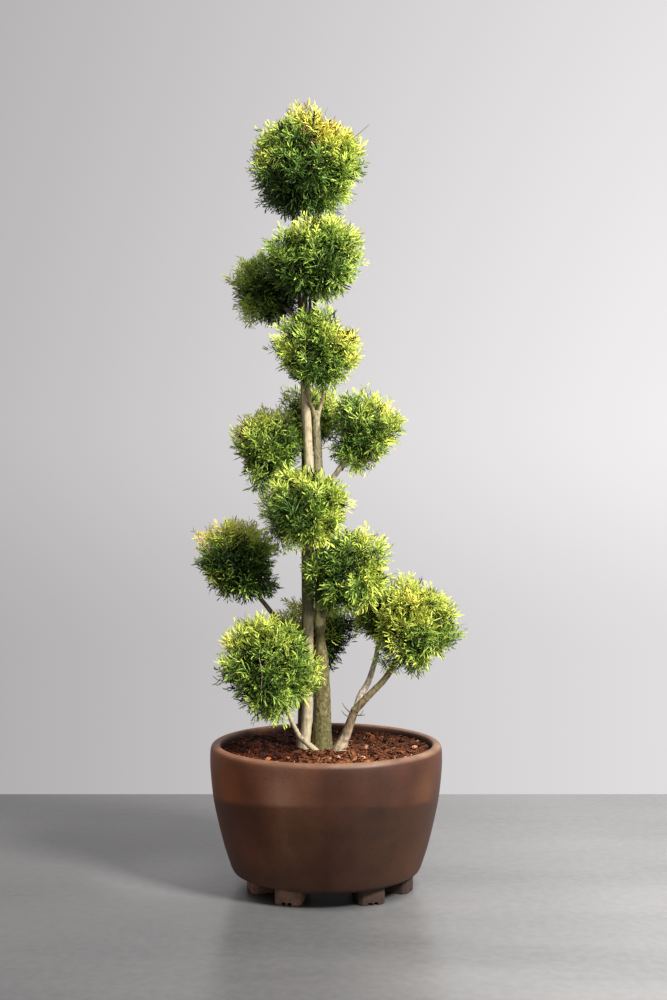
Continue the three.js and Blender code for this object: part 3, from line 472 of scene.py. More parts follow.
def chip_material(name, dark, mid, pale):
    n = Nodes(name)
    grain = n.noise(70.0, 4.0, 0.65, n.scaled(n.where, (1.0, 1.0, 3.0)))
    base = n.ramp(grain, [(0.28, linear(dark)), (0.5, linear(mid)), (0.75, linear(pale))])
    xyz = n.new("ShaderNodeSeparateXYZ")
    n.link(n.where, xyz.inputs[0])
    # the chips on the left are painted darker: painted shade
    painted_shading_by_x = n.ramp(n.math("MULTIPLY_ADD", xyz.outputs[0], 2.5, 0.5), [(0.0, (0.62, 0.36, 0.2)), (0.1, (0.36, 0.19, 0.11)), (0.26, (0.46, 0.28, 0.17)), (0.45, (1.0, 0.95, 0.9))])
    base = n.mix(1.0, base, painted_shading_by_x, "MULTIPLY")
    # the chips are painted lighter in front and darker at the back: painted light and painted shade
    dry = n.ramp(n.math("MULTIPLY_ADD", xyz.outputs[1], 2.0, 0.5), [(0.05, (2.3, 2.35, 2.1)), (0.3, (1.3, 1.24, 1.1)), (0.6, (0.84, 0.76, 0.66)), (0.78, (0.46, 0.29, 0.18))])
    base = n.mix(1.0, base, dry, "MULTIPLY")
    return n.set(Base_Color=base, Roughness=0.92, Specular_IOR_Level=0.22, Normal=n.bump(n.noise(520.0, 3.0), 0.5, 0.002))


def bark_material(name, dark, mid, pale, streak, relief, scale=1.0, green=None, above=None, band=None):
    """Bark with upright grain. streak is how long the grain is drawn out. above is (height where
    it starts, height where it ends, colour, share) for a stem whose colour changes upwards:
    painted shade at the tops of the pale, shaded and forked bark, painted light on the olive stem.
    band is (lowest, highest, colour) for a length of it in another colour, darker in patches:
    painted shade on the pale stem under the cushions, painted light on the olive stem."""
    n = Nodes(name)
    grain = n.noise(130.0 * scale, 6.0, 0.62, n.scaled(n.where, (1.0, 1.0, 1.0 / streak)), 0.6)
    cloud = n.noise(16.0, 4.0, 0.6)
    base = n.ramp(grain, [(0.3, linear(dark)), (0.46, linear(mid)), (0.66, linear(pale))])
    tint = n.ramp(cloud, [(0.32, (0.8, 0.8, 0.8)), (0.62, (1.06, 1.05, 1.02))])
    base = n.mix(1.0, base, tint, "MULTIPLY")
    if green:
        patch = n.ramp(n.noise(9.0, 3.0), [(0.42, (0, 0, 0)), (0.6, (1, 1, 1))])
        base = n.mix(n.math("MULTIPLY", patch, 0.55), base, linear(green))
    if above:
        xyz = n.new("ShaderNodeSeparateXYZ")
        n.link(n.where, xyz.inputs[0])
        up = n.new("ShaderNodeMapRange", interpolation_type="SMOOTHSTEP")
        for key, value in (("From Min", above[0]), ("From Max", above[1])):
            up.inputs[key].default_value = value
        n.link(xyz.outputs[2], up.inputs["Value"])
        lit = n.ramp(grain, [(0.3, linear(tuple(0.62 * v for v in above[2]))), (0.5, linear(above[2]))])
        base = n.mix(n.math("MULTIPLY", up.outputs["Result"], above[3]), base, lit)
    if band:
        xyz = n.new("ShaderNodeSeparateXYZ")
        n.link(n.where, xyz.inputs[0])
        inside = None
        for low, high in ((band[0], band[0] + 0.03), (band[1], band[1] - 0.03)):
            edge = n.new("ShaderNodeMapRange", interpolation_type="SMOOTHSTEP")
            for key, value in (("From Min", low), ("From Max", high)):
                edge.inputs[key].default_value = value
            n.link(xyz.outputs[2], edge.inputs["Value"])
            inside = edge.outputs["Result"] if inside is None else n.math("MULTIPLY", inside, edge.outputs["Result"])
        spots = n.ramp(n.noise(46.0, 4.0, 0.6), [(0.36, linear(tuple(0.6 * v for v in band[2]))), (0.52, linear(band[2]))])
        base = n.mix(n.math("MULTIPLY", inside, 0.75), base, spots)
    mark = n.new("ShaderNodeAttribute", attribute_name="mark")
    base = n.mix(mark.outputs["Fac"], base, linear(tuple(0.42 * v for v in dark)))
    fine = n.noise(520.0 * scale, 3.0, 0.6, n.scaled(n.where, (1.0, 1.0, 0.5)))
    height = n.mix(0.35, grain, fine)
    return n.set(Base_Color=base, Roughness=0.82, Specular_IOR_Level=0.3, Normal=n.bump(height, relief, 0.002))


def plain_material(name, rgb, roughness=0.62, specular=0.3):
    mat = bpy.data.materials.new(name)
    mat.use_nodes = True
    b = mat.node_tree.nodes["Principled BSDF"]
    b.inputs["Base Color"].default_value = linear(rgb)
    b.inputs["Roughness"].default_value = roughness
    b.inputs["Specular IOR Level"].default_value = specular
    return mat


TONES = [
    plain_material(f"needle_{k}", rgb, 0.55, 0.2)
    for k, rgb in enumerate(
        [(12, 22, 6), (25, 40, 12), (41, 63, 20), (62, 91, 30), (91, 123, 46), (127, 156, 60), (168, 190, 80), (198, 207, 88), (219, 205, 82), (228, 192, 80), (120, 92, 60), (178, 190, 126)]
    )
]
# the last needle colour is the pale rib tone, partly pale midribs and partly painted highlight
GREENEST, YELLOW, ORANGE, DEAD, RIB_AND_PAINTED_HIGHLIGHT = 7, 8, 9, 10, 11

# ------------------------------------------------------------------ floor
size = 4.0
floor = make_mesh(
    "floor",
    np.array([(-size, -size, 0), (size, -size, 0), (size, 1.02, 0), (-size, 1.02, 0)], float),
    np.array([(0, 1, 2, 3)]),
    [floor_material()],
    sides=4,
)
floor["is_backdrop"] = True


# ------------------------------------------------------------------ pot
def turned(name, profile, around, material, waver=0.0, seed=0.0):
    """A lathe mesh. profile is (radius, height) in mm and may end on the axis."""
    profile = np.array(profile, float)
    rings = [k for k in range(len(profile)) if profile[k, 0] > 1e-6]
    angle = np.linspace(0, 2 * math.pi, around, endpoint=False)
    c, s = np.cos(angle), np.sin(angle)
    verts, start = [], {}
    for k in range(len(profile)):
        start[k] = sum(len(v) for v in verts)
        r, z = profile[k]
        if k in rings:
            p = np.stack([r * c, r * s, np.full(around, z)], 1)
            if waver:
                bend = layered(np.stack([c * 2.1 + seed, s * 2.1, np.full(around, z / 90.0)], 1)) - 0.5
                p[:, :2] *= (1 + waver * bend / max(r, 1))[:, None]
            verts.append(p)
        else:
            verts.append(np.array([[0, 0, z]]))
    faces = []
    i = np.arange(around)
    j = (i + 1) % around
    for k in range(len(profile) - 1):
        a, b = start[k], start[k + 1]
        if k in rings and k + 1 in rings:
            faces.append(np.stack([a + i, a + j, b + j], 1))
            faces.append(np.stack([a + i, b + j, b + i], 1))
        elif k + 1 in rings:
            faces.append(np.stack([np.full(around, a), b + j, b + i], 1))
        else:
            faces.append(np.stack([a + i, a + j, np.full(around, b)], 1))
    return make_mesh(name, np.concatenate(verts) * MM, np.concatenate(faces), [material], smooth=True)


def rounded(points, step=4.0):
    """Points along a smooth curve through the given ones, about step mm apart."""
    p = np.array(points, float)
    out = []
    for k in range(len(p) - 1):
        a, b = p[max(k - 1, 0)], p[k]
        c, d = p[k + 1], p[min(k + 2, len(p) - 1)]
        n = max(2, int(np.linalg.norm(c - b) / step))
        for t in np.arange(n) / n:
            out.append(0.5 * (2 * b + t * (c - a) + t * t * (2 * a - 5 * b + 4 * c - d) + t**3 * (3 * (b - c) + d - a)))
    out.append(p[-1])
    return [tuple(v) for v in out]


outside = rounded([(226, 40), (242, 45.2), (250, 63.7), (259.7, 93), (265.9, 113), (281, 175.2), (292.6, 234), (299.4, 300), (300.3, 333), (299.6, 350)], 7.0)
lip = rounded([(299.6, 350), (297.8, 358.2), (293.2, 364.2), (286.5, 366.7), (280.5, 366.4), (276.0, 363.4), (273.9, 358.0), (273.4, 350.0)], 1.6)
inside = [(273.2, 335), (272, 300), (264, 240), (252, 175), (236, 110), (212, 66), (0, 66)]
pot = turned("pot_wall", [(0, 40), (120, 40), (205, 40)] + outside + lip[1:] + inside, 192, pot_material(), waver=1.1)
place(pot, "pot", "pot")


# ------------------------------------------------------------------ feet
def foot_mesh(label, bearing, far, facing, side, k):
    """One terracotta foot with rounded edges and two drain slots. Local y points outwards from its
    inner end, which lies far mm from the middle of the ring of feet."""
    w, c, l, i = FOOT["width"] / 2, FOOT["corner"], FOOT["length"], FOOT["width"] / 2 - FOOT["taper"]
    right = [(0, 0), (i - 4, 0), (i, 4), (w - 0.6, l - c - 3), (w - 1.4, l - c + 1), (w - c + 2.5, l - 2.2), (w - c - 3, l - 1.1)]
    slot_edges = [(13, l + 0.7), (2, l + 1.3)]
    plan = right + slot_edges
    plan = plan + [(-x, y) for x, y in reversed(plan[1:])]
    plan = np.array(plan, float)
    middle = plan.mean(0)
    levels = [(0.0, 1.6), (1.4, 0.3), (4.0, 0.0), (20.0, 0.0), (33.0, 0.2), (38.2, 0.9), (39.6, 2.6)]
    verts, n = [], len(plan)
    for z, inset in levels:
        ring = plan + unit(middle - plan) * inset
        ring = ring + 0.5 * (np.stack([noise(np.column_stack([ring / 17.0, np.full(n, z / 13.0 + k)])), noise(np.column_stack([ring / 17.0 + 9, np.full(n, z / 13.0 + k)]))], 1) - 0.5)
        verts.append(np.column_stack([ring, np.full(n, z)]))
    verts = np.concatenate(verts)
    faces = []
    for a in range(len(levels) - 1):
        for b in range(n):
            d = (b + 1) % n
            faces.append((a * n + b, a * n + d, (a + 1) * n + d, (a + 1) * n + b))
    verts = np.concatenate([verts, [[middle[0], middle[1], 0]], [[middle[0], middle[1], 39.6]]])
    low, high = len(verts) - 2, len(verts) - 1
    top = (len(levels) - 1) * n
    tris = [(low, (b + 1) % n, b) for b in range(n)] + [(high, top + b, top + (b + 1) % n) for b in range(n)]
    turn = math.pi + side * math.radians(facing)
    ct, st = math.cos(turn), math.sin(turn)
    skew = math.radians(bearing - facing)
    left, ahead = -side * far * math.sin(skew), far * math.cos(skew)
    moved = verts.copy()
    x, y = verts[:, 0] + left, verts[:, 1] + ahead
    moved[:, 0] = x * ct - y * st + FOOT["shift"]
    moved[:, 1] = x * st + y * ct
    mesh = bpy.data.meshes.new("foot")
    mesh.from_pydata([tuple(v * MM) for v in moved], [], faces + tris)
    mesh.update()
    obj = bpy.data.objects.new(label + "_block", mesh)
    bpy.context.scene.collection.objects.link(obj)
    # the two drain slots are cut from the underside
    cutters = []
    for x in (-7.5, 7.5):
        box = []
        for dx in (-5.5, 5.5):
            for dy in (-30.0, l + 30.0):
                for z in (-6.0, 7.4):
                    xx, yy = x + dx + left, dy + ahead
                    box.append(((xx * ct - yy * st + FOOT["shift"]) * MM, (xx * st + yy * ct) * MM, z * MM))
        quads = [(0, 1, 3, 2), (4, 6, 7, 5), (0, 4, 5, 1), (2, 3, 7, 6), (0, 2, 6, 4), (1, 5, 7, 3)]
        cm = bpy.data.meshes.new("slot")
        cm.from_pydata(box, [], quads)
        co = bpy.data.objects.new("slot", cm)
        bpy.context.scene.collection.objects.link(co)
        cutters.append(co)
    for co in cutters:
        mod = obj.modifiers.new("slot", "BOOLEAN")
        mod.operation, mod.object, mod.solver = "DIFFERENCE", co, "EXACT"
    bpy.context.view_layer.update()
    done = bpy.data.meshes.new_from_object(obj.evaluated_get(bpy.context.evaluated_depsgraph_get()))
    obj.modifiers.clear()
    obj.data = done
    for co in cutters:
        bpy.data.objects.remove(co)
    return obj


terracotta = feet_material()
for side in (-1, 1):
    for k, (bearing, far, facing) in enumerate(FOOT["places"]):
        f = foot_mesh(f"foot_{'left' if side < 0 else 'right'}_{k + 1}", bearing, far, facing, side, k + 5 * side)
        f.data.materials.clear()
        f.data.materials.append(terracotta)
        place(f, "feet", f.name.replace("_block", ""))

# ------------------------------------------------------------------ soil and bark mulch
STEM_FEET = [(-58, -25, 17), (-11, -22, 30), (-64, 10, 15), (30, -30, 18), (-22, -60, 10)]


def ground_height(x, y):
    """Height of the soil above SOIL_TOP, in mm: uneven, banked a little round the stems."""
    p = np.column_stack([x / 46.0, y / 46.0, np.zeros(len(x))])
    r = np.hypot(x, y)
    h = 7.0 * (layered(p) - 0.45) + 2.6 * (noise(np.column_stack([x / 9.0, y / 9.0, np.full(len(x), 3.3)])) - 0.5)
    h = h + 5.0 * np.exp(-((np.hypot(x + 20, y + 22) / 90.0) ** 2))
    return h * np.clip((272 - r) / 30.0, 0, 1) - 0.8 * np.clip((r - 240) / 32.0, 0, 1)


rings, around = 54, 150
rr = np.linspace(0, 1, rings + 1)[1:] ** 0.85 * 272.2
aa = np.linspace(0, 2 * math.pi, around, endpoint=False)
R, A = np.meshgrid(rr, aa, indexing="ij")
X, Y = (R * np.cos(A)).ravel(), (R * np.sin(A)).ravel()
top = np.column_stack([X, Y, SOIL_TOP - 0.4 + ground_height(X, Y)])
verts = np.concatenate([[[0, 0, SOIL_TOP - 0.4 + float(ground_height(np.zeros(1), np.zeros(1))[0])]], top])
i, j = np.arange(around), (np.arange(around) + 1) % around
faces = [np.stack([np.zeros(around, int), 1 + i, 1 + j], 1)]
for k in range(rings - 1):
    a, b = 1 + k * around, 1 + (k + 1) * around
    faces += [np.stack([a + i, b + i, b + j], 1), np.stack([a + i, b + j, a + j], 1)]
a = 1 + (rings - 1) * around
low = len(verts)
verts = np.concatenate([verts, np.column_stack([272.0 * np.cos(aa), 272.0 * np.sin(aa), np.full(around, 330.0)]), [[0, 0, 330.0]]])
faces += [np.stack([a + i, low + i, low + j], 1), np.stack([a + i, low + j, a + j], 1), np.stack([low + j, low + i, np.full(around, low + around)], 1)]
soil = make_mesh("soil_surface", verts * MM, np.concatenate(faces), [soil_material()], smooth=True)
place(soil, "soil", "soil")


def chips(count, long_mm, wide_mm, thick_mm, lift, tilt, seed):
    """Shreds of bark: bent, split bars with three or four sides, joined into arrays."""
    g = np.random.default_rng(seed)
    r = 268.0 * np.sqrt(g.random(count))
    a = g.random(count) * 2 * math.pi
    x, y = r * np.cos(a), r * np.sin(a)
    length = long_mm[0] + (long_mm[1] - long_mm[0]) * g.random(count) ** 1.6
    keep = np.ones(count, bool)
    for fx, fy, fr in STEM_FEET:
        keep &= np.hypot(x - fx, y - fy) > fr * 0.8
    keep &= r + length * 0.42 < 271.0
    x, y, length = x[keep], y[keep], length[keep]
    n = len(x)
    wide = wide_mm[0] + (wide_mm[1] - wide_mm[0]) * g.random(n)
    thick = thick_mm[0] + (thick_mm[1] - thick_mm[0]) * g.random(n)
    yaw, pitch, roll = g.random(n) * 2 * math.pi, g.normal(0, tilt, n), g.normal(0, 0.5, n)
    d = np.stack([np.cos(yaw) * np.cos(pitch), np.sin(yaw) * np.cos(pitch), np.sin(pitch)], 1)
    s = unit(np.cross(np.array([0, 0, 1.0]), d))
    u = np.cross(d, s)
    s, u = s * np.cos(roll)[:, None] + u * np.sin(roll)[:, None], u * np.cos(roll)[:, None] - s * np.sin(roll)[:, None]
    z = SOIL_TOP + ground_height(x, y) + lift[0] + (lift[1] - lift[0]) * g.random(n)
    middle = np.stack([x, y, z], 1)
    stations = np.array([-0.5, -0.16, 0.2, 0.5])
    girth = np.array([0.35, 1.0, 0.85, 0.25])
    bend = g.normal(0, 0.16, n)
    twist = g.normal(0, 0.35, n)
    verts = []
    for t, w in zip(stations, girth):
        w = w * (0.8 + 0.4 * g.random(n))
        centre = middle + d * (t * length)[:, None] + u * (bend * length * (t * t * 2 - 0.15))[:, None]
        ca, sa = np.cos(twist * t)[:, None], np.sin(twist * t)[:, None]
        ss, uu = s * ca + u * sa, u * ca - s * sa
        for cs, cu in ((1, -0.4), (0.1, 1), (-1, -0.3)):
            verts.append(centre + ss * (cs * 0.5 * wide * w)[:, None] + uu * (cu * 0.5 * thick * w)[:, None])
    v = np.stack(verts, 1)  # n, 12, 3
    f = []
    for k in range(3):
        for q in range(3):
            a0, a1 = k * 3 + q, k * 3 + (q + 1) % 3
            f += [(a0, a1, a1 + 3), (a0, a1 + 3, a0 + 3)]
    f += [(0, 2, 1), (9, 10, 11)]
    f = np.array(f)
    v[:, :, 2] = np.maximum(v[:, :, 2], SOIL_TOP - 12)
    faces = (f[None] + (np.arange(n) * 12)[:, None, None]).reshape(-1, 3)
    return v.reshape(-1, 3), faces, n, len(f)


mulch_mats = [
    chip_material("mulch_dark", (32, 17, 11), (56, 31, 20), (82, 48, 32)),
    chip_material("mulch_red", (62, 34, 22), (94, 54, 36), (122, 76, 52)),
    chip_material("mulch_brown", (76, 47, 31), (110, 72, 48), (140, 97, 68)),
    chip_material("mulch_pink", (160, 112, 92), (196, 150, 128), (214, 176, 154)),
]
parts = [
    (chips(2300, (9, 26), (3, 7), (2, 4), (-2.5, 1.5), 0.22, 11), (0.5, 0.36, 0.13, 0.01)),
    (chips(2100, (10, 42), (1.6, 5), (1.0, 3), (0.0, 6.0), 0.36, 12), (0.22, 0.44, 0.30, 0.03)),
    (chips(300, (14, 34), (9, 18), (5, 11), (0.0, 5.0), 0.25, 13), (0.25, 0.45, 0.27, 0.03)),
    (chips(36, (10, 20), (7, 12), (4, 7), (3.0, 7.0), 0.2, 14), (0.0, 0.1, 0.3, 0.6)),
]
all_v, all_f, all_m, base = [], [], [], 0
for (v, f, n, each), shares in parts:
    kind = rng.choice(4, n, p=np.array(shares) / sum(shares))
    all_v.append(v)
    all_f.append(f + base)
    all_m.append(np.repeat(kind, each))
    base += len(v)
mulch = make_mesh("bark_mulch", np.concatenate(all_v) * MM, np.concatenate(all_f), mulch_mats, np.concatenate(all_m))
place(mulch, "soil")


# ------------------------------------------------------------------ stems and boughs
def curve_points(path, t):
    """Points, radii and tangents on the limb's own curve at t from 0 to 1."""
    p = np.array(path, float)
    ext = np.vstack([2 * p[0] - p[1], p, 2 * p[-1] - p[-2]])
    s = np.clip(t, 0, 1) * (len(p) - 1)
    k = np.minimum(s.astype(int), len(p) - 2)
    f = (s - k)[:, None]
    a, b, c, d = ext[k], ext[k + 1], ext[k + 2], ext[k + 3]
    at = 0.5 * (2 * b + f * (c - a) + f**2 * (2 * a - 5 * b + 4 * c - d) + f**3 * (3 * (b - c) + d - a))
    tangent = 0.5 * ((c - a) + 2 * f * (2 * a - 5 * b + 4 * c - d) + 3 * f**2 * (3 * (b - c) + d - a))
    return at[:, :3], at[:, 3], unit(tangent[:, :3])


def along(path, step):
    """Values of t whose points on the curve are about step mm apart."""
    t = np.linspace(0, 1, 800)
    at, _, _ = curve_points(path, t)
    run = np.concatenate([[0], np.cumsum(np.linalg.norm(np.diff(at, axis=0), axis=1))])
    n = max(6, int(run[-1] / step))
    return np.interp(np.linspace(0, run[-1], n), run, t), run[-1]


def limb_mesh(name, around, step, relief, material, slot_name, knots=(), collar=0.0, foot=0.0, root_ribs=0.0):
    """A closed tube on the limb's curve, with its bark in relief.
    knots: (height mm, bearing deg, radius mm, rise mm, darkness)."""
    path = LIMBS[name]
    t, length = along(path, step)
    at, r, tangent = curve_points(path, t)
    run = np.linspace(0, length, len(t))
    if path[0][2] <= SOIL_TOP + 0.1:  # stands in the soil
        up = np.clip(1 - run / 30.0, 0, 1)[:, None]
        tangent = unit(tangent * (1 - up) + np.array([0, 0, 1.0]) * up)
    if collar:
        r = r * (1 + collar * np.exp(-run / 9.0))
    side = unit(np.cross(np.array([0, 1.0, 0]), tangent))
    front = np.cross(side, tangent)
    angle = np.linspace(0, 2 * math.pi, around, endpoint=False)
    c, s = np.cos(angle), np.sin(angle)
    out = side[:, None, :] * c[None, :, None] + front[:, None, :] * s[None, :, None]
    n, m = len(t), around
    q = np.stack([np.broadcast_to(c, (n, m)), np.broadcast_to(s, (n, m)), np.broadcast_to(run[:, None], (n, m))], -1).reshape(-1, 3)
    base = np.repeat(r, m)
    h, mark = relief(q, base)
    z = np.repeat(at[:, 2], m)
    if root_ribs:
        low = np.exp(-np.clip(z - SOIL_TOP, 0, None) / 38.0)
        theta = np.arctan2(q[:, 1], q[:, 0])
        h = h + root_ribs * low * (np.cos(4 * theta + 0.8 * np.sin(2 * theta)) * 0.5 + 0.4 * np.cos(7 * theta + 1.3))
    for kz, bearing, kr, rise, dark in knots:
        theta = np.arctan2(-q[:, 1], q[:, 0])
        across = (theta - math.radians(bearing) + math.pi) % (2 * math.pi) - math.pi
        d2 = (across * base / kr) ** 2 + ((z - kz) / (kr * 1.25)) ** 2
        h = h + rise * np.exp(-d2) - 0.45 * rise * np.exp(-d2 * 5.0)
        mark = np.maximum(mark, dark * np.exp(-d2 * 2.2))
    verts = (np.repeat(at, m, 0) + out.reshape(-1, 3) * (base + h)[:, None])
    i, j = np.arange(m), (np.arange(m) + 1) % m
    faces = []
    for k in range(n - 1):
        a, b = k * m, (k + 1) * m
        faces += [np.stack([a + i, a + j, b + j], 1), np.stack([a + i, b + j, b + i], 1)]
    ends = np.array([at[0] - tangent[0] * foot, at[-1] + tangent[-1] * r[-1] * 0.6])
    e = len(verts)
    faces += [np.stack([j, i, np.full(m, e)], 1), np.stack([(n - 1) * m + i, (n - 1) * m + j, np.full(m, e + 1)], 1)]
    verts = np.concatenate([verts, ends])
    obj = make_mesh(name + "_bark", verts * MM, np.concatenate(faces), [material], smooth=True, marks=np.concatenate([mark, [0, 0]]))
    return place(obj, slot_name, name)


def smooth_bark(seed, depth=0.35, rings_at=()):
    def relief(q, r):
        p = np.stack([q[:, 0] * r / 9.0, q[:, 1] * r / 9.0, q[:, 2] / 26.0], 1) + seed
        h = depth * 2.2 * (layered(p, 3) - 0.5)
        lines = layered(np.stack([q[:, 0] * r / 5.0, q[:, 1] * r / 5.0, q[:, 2] / 3.2], 1) + seed * 3, 2)
        h = h - depth * 0.7 * np.clip(lines - 0.66, 0, 1) * 3
        mark = 0.25 * np.clip((lines - 0.7) * 6, 0, 1)
        for at, strength in rings_at:
            wobble = 2.0 * (noise(np.stack([q[:, 0] * 2, q[:, 1] * 2, np.full(len(q), at)], 1)) - 0.5)
            d = (q[:, 2] - at - wobble * 1.6) / 2.0
            h = h + depth * 1.8 * np.exp(-((d - 1.2) ** 2)) - depth * 1.2 * np.exp(-(d**2))
            part = np.clip(noise(np.stack([q[:, 0] * 1.6, q[:, 1] * 1.6, np.full(len(q), at * 0.7)], 1)) * 1.6 - 0.25, 0, 1)
            mark = np.maximum(mark, strength * part * np.exp(-(d**2) * 1.5))
        return h, mark

    return relief


def flaky_bark(seed, depth=1.3, tall=24.0):
    def relief(q, r):
        k = r / 6.5
        p = np.stack([q[:, 0] * k, q[:, 1] * k, q[:, 2] / tall], 1) + seed
        warp = 0.8 * (noise(p * 0.7 + 31.0) - 0.5)
        a = layered(p + warp[:, None], 3)
        plate = np.abs(a - 0.5) * 2.0
        crack = np.clip(1 - plate * 7.0, 0, 1)
        fine = layered(np.stack([q[:, 0] * r / 2.4, q[:, 1] * r / 2.4, q[:, 2] / 9.0], 1) + seed * 2, 2)
        step = np.floor(a * 7.0) / 7.0
        small = np.clip(r / 20.0, 0.35, 1.0)
        h = depth * small * (1.5 * (step - 0.5) - 0.75 * crack + 0.55 * (fine - 0.5))
        return h, np.clip(0.62 * crack + 0.5 * np.clip(0.38 - fine, 0, 1), 0, 0.75)

    return relief


# the pale stem is painted darker at the top and in a band lower down: painted shade under the cushions
pale = bark_material("bark_pale", (127, 111, 85), (169, 156, 127), (193, 181, 151), 3.2, 0.3, 1.0, None, (1.42, 1.52, (78, 70, 56), 0.85), (0.685, 0.885, (62, 60, 36)))
# the olive stem is painted paler at the top and in a band: painted light where the cushions shade it
olive = bark_material("bark_olive", (56, 47, 30), (108, 97, 62), (150, 138, 98), 1.3, 0.9, 0.9, (92, 90, 50), (0.70, 0.98, (166, 156, 122), 0.86), (0.645, 0.765, (230, 222, 168)))
# the back stem's bark is a shaded copy, darker again at the top: painted shade
shaded = bark_material("bark_shaded", (74, 58, 42), (118, 96, 72), (148, 126, 100), 4.0, 0.7, above=(1.3, 1.45, (84, 74, 60), 0.8))
beige = bark_material("bark_beige", (84, 68, 50), (129, 109, 84), (162, 142, 114), 3.0, 0.5, band=(0.325, 0.415, (212, 188, 158)))
# the forks are painted darker at the top: painted shade among the cushions
forked = bark_material("bark_forked", (84, 72, 54), (134, 118, 90), (164, 148, 118), 3.0, 0.5, above=(1.36, 1.47, (78, 70, 56), 0.85))
moss = bark_material("bark_moss", (72, 60, 40), (120, 104, 74), (158, 142, 106), 3.6, 0.6, 1.0, (112, 108, 62))
grey = bark_material("bark_grey", (84, 72, 54), (130, 116, 92), (162, 148, 120), 3.2, 0.5)

russet = bark_material("bark_russet", (56, 46, 34), (92, 76, 56), (120, 102, 78), 3.0, 0.5)
dry = bark_material("bark_dry", (134, 120, 102), (188, 173, 152), (216, 205, 187), 3.4, 0.5)

z0 = LIMBS["stem_left"][0][2]
limb_mesh("stem_left", 40, 5.0, smooth_bark(1.0, 0.4, [(1239 - z0, 1.0), (1146 - z0, 1.0), (760 - z0, 0.4), (640 - z0, 0.3), (430 - z0, 0.35)]), pale, "bark_smooth",
          knots=[(700, -60, 6, 1.0, 0.5), (905, 200, 6, 1.2, 0.5), (1180, -80, 4, 0.6, 0.5)], foot=4, root_ribs=0.8)
limb_mesh("stem_right", 72, 3.2, flaky_bark(4.0, 1.25, 11.0), olive, "bark_rough",
          knots=[(590, 5, 14, 4.0, 0.85), (684, -20, 13, 4.5, 0.6), (640, -95, 8, 2.0, 0.7), (505, -70, 7, 1.2, 0.6), (1000, 8, 10, 2.5, 0.5)], foot=4, root_ribs=2.6)
limb_mesh("stem_back", 32, 5.0, flaky_bark(7.0, 0.9), shaded, "bark_rough", foot=4, root_ribs=1.0)
limb_mesh("fork_left", 18, 3.0, smooth_bark(8.0, 0.35), forked, "bark_rough")
limb_mesh("fork_right", 18, 4.0, smooth_bark(9.0, 0.35), forked, "bark_rough")
limb_mesh("bough_low_left", 26, 2.6, smooth_bark(10.0, 0.4, [(30, 0.5), (58, 0.7), (84, 0.6), (112, 0.5)]), pale, "bark_smooth",
          knots=[(385, -70, 4, 1.1, 0.8), (394, -40, 3.4, 1.0, 0.8)], foot=4)
limb_mesh("bough_low_right", 44, 2.4, flaky_bark(11.0, 0.7), beige, "bark_smooth", knots=[(398, -80, 7, 1.6, 0.5), (430, 40, 6, 1.4, 0.6)], foot=4, root_ribs=2.6)
limb_mesh("bough_low_right_outer", 26, 2.8, smooth_bark(12.0, 0.5, [(40, 0.5), (78, 0.4), (120, 0.5)]), moss, "bark_rough", knots=[(560, 60, 4, 1.2, 0.8)], collar=0.1)
limb_mesh("bough_low_right_inner", 26, 2.8, smooth_bark(13.0, 0.5, [(60, 0.5), (110, 0.5)]), dry, "bark_smooth")
limb_mesh("bough_mid_left", 22, 3.0, smooth_bark(14.0, 0.5, [(70, 0.5), (120, 0.6)]), russet, "bark_rough", collar=0.25)
limb_mesh("bough_mid_right", 22, 3.0, smooth_bark(15.0, 0.5), dry, "bark_rough", collar=0.25)
for k, name in enumerate(("bough_upper_left", "bough_centre_right", "bough_back_low", "bough_back_mid", "bough_back_top")):
    limb_mesh(name, 18, 3.0, smooth_bark(20.0 + k, 0.45), grey, "bark_rough", collar=0.25)


# ------------------------------------------------------------------ foliage
def lumps_at(v, s):
    x, y, z = v[:, 0], v[:, 1], v[:, 2]
    return (0.4 * np.sin(2.6 * x + 1.3 * z + 1.7 * s) + 0.3 * np.sin(2.9 * y - 1.1 * x + 2.3 * s)
            + 0.3 * np.sin(3.4 * z + 2.2 * y + 3.1 * s) + 0.22 * np.sin(5.1 * x - 3.2 * y + 2.7 * z + 0.9 * s))


def reach_at(reach, angle):
    n = len(reach)
    s = ((angle / (2 * math.pi)) * n + n) % n
    i = np.floor(s).astype(int)
    t = s - i
    r = np.array(reach, float)
    a, b, c, d = (r[(i + k + n) % n] for k in (-1, 0, 1, 2))
    return b + 0.5 * t * (c - a + t * (2 * a - 5 * b + 4 * c - d + t * (3 * (b - c) + d - a)))


def surface(mass, v):
    """Points of the cushion's surface in directions v from its centre, in mm, and their normals."""
    at, reach, deep, seed = MASSES[mass][:4]
    across = reach_at(reach, np.arctan2(v[:, 2], v[:, 0]))
    k = 1 + LUMPS * lumps_at(v, seed)
    depth = deep * k * (1 + (across / np.mean(reach) - 1) * 0.6)
    p = np.array(at, float) + np.stack([v[:, 0] * across * k, v[:, 1] * depth, v[:, 2] * across * k], 1)
    return p, unit(np.stack([v[:, 0] / across, v[:, 1] / depth, v[:, 2] / across], 1))


def sphere_points(n, g):
    i = np.arange(n) + 0.5
    z = 1 - 2 * i / n
    a = math.pi * (1 + 5**0.5) * i
    r = np.sqrt(1 - z * z)
    v = np.stack([r * np.cos(a), r * np.sin(a), z], 1)
    return unit(v + g.normal(0, 0.55 / math.sqrt(n), (n, 3)) * 2)


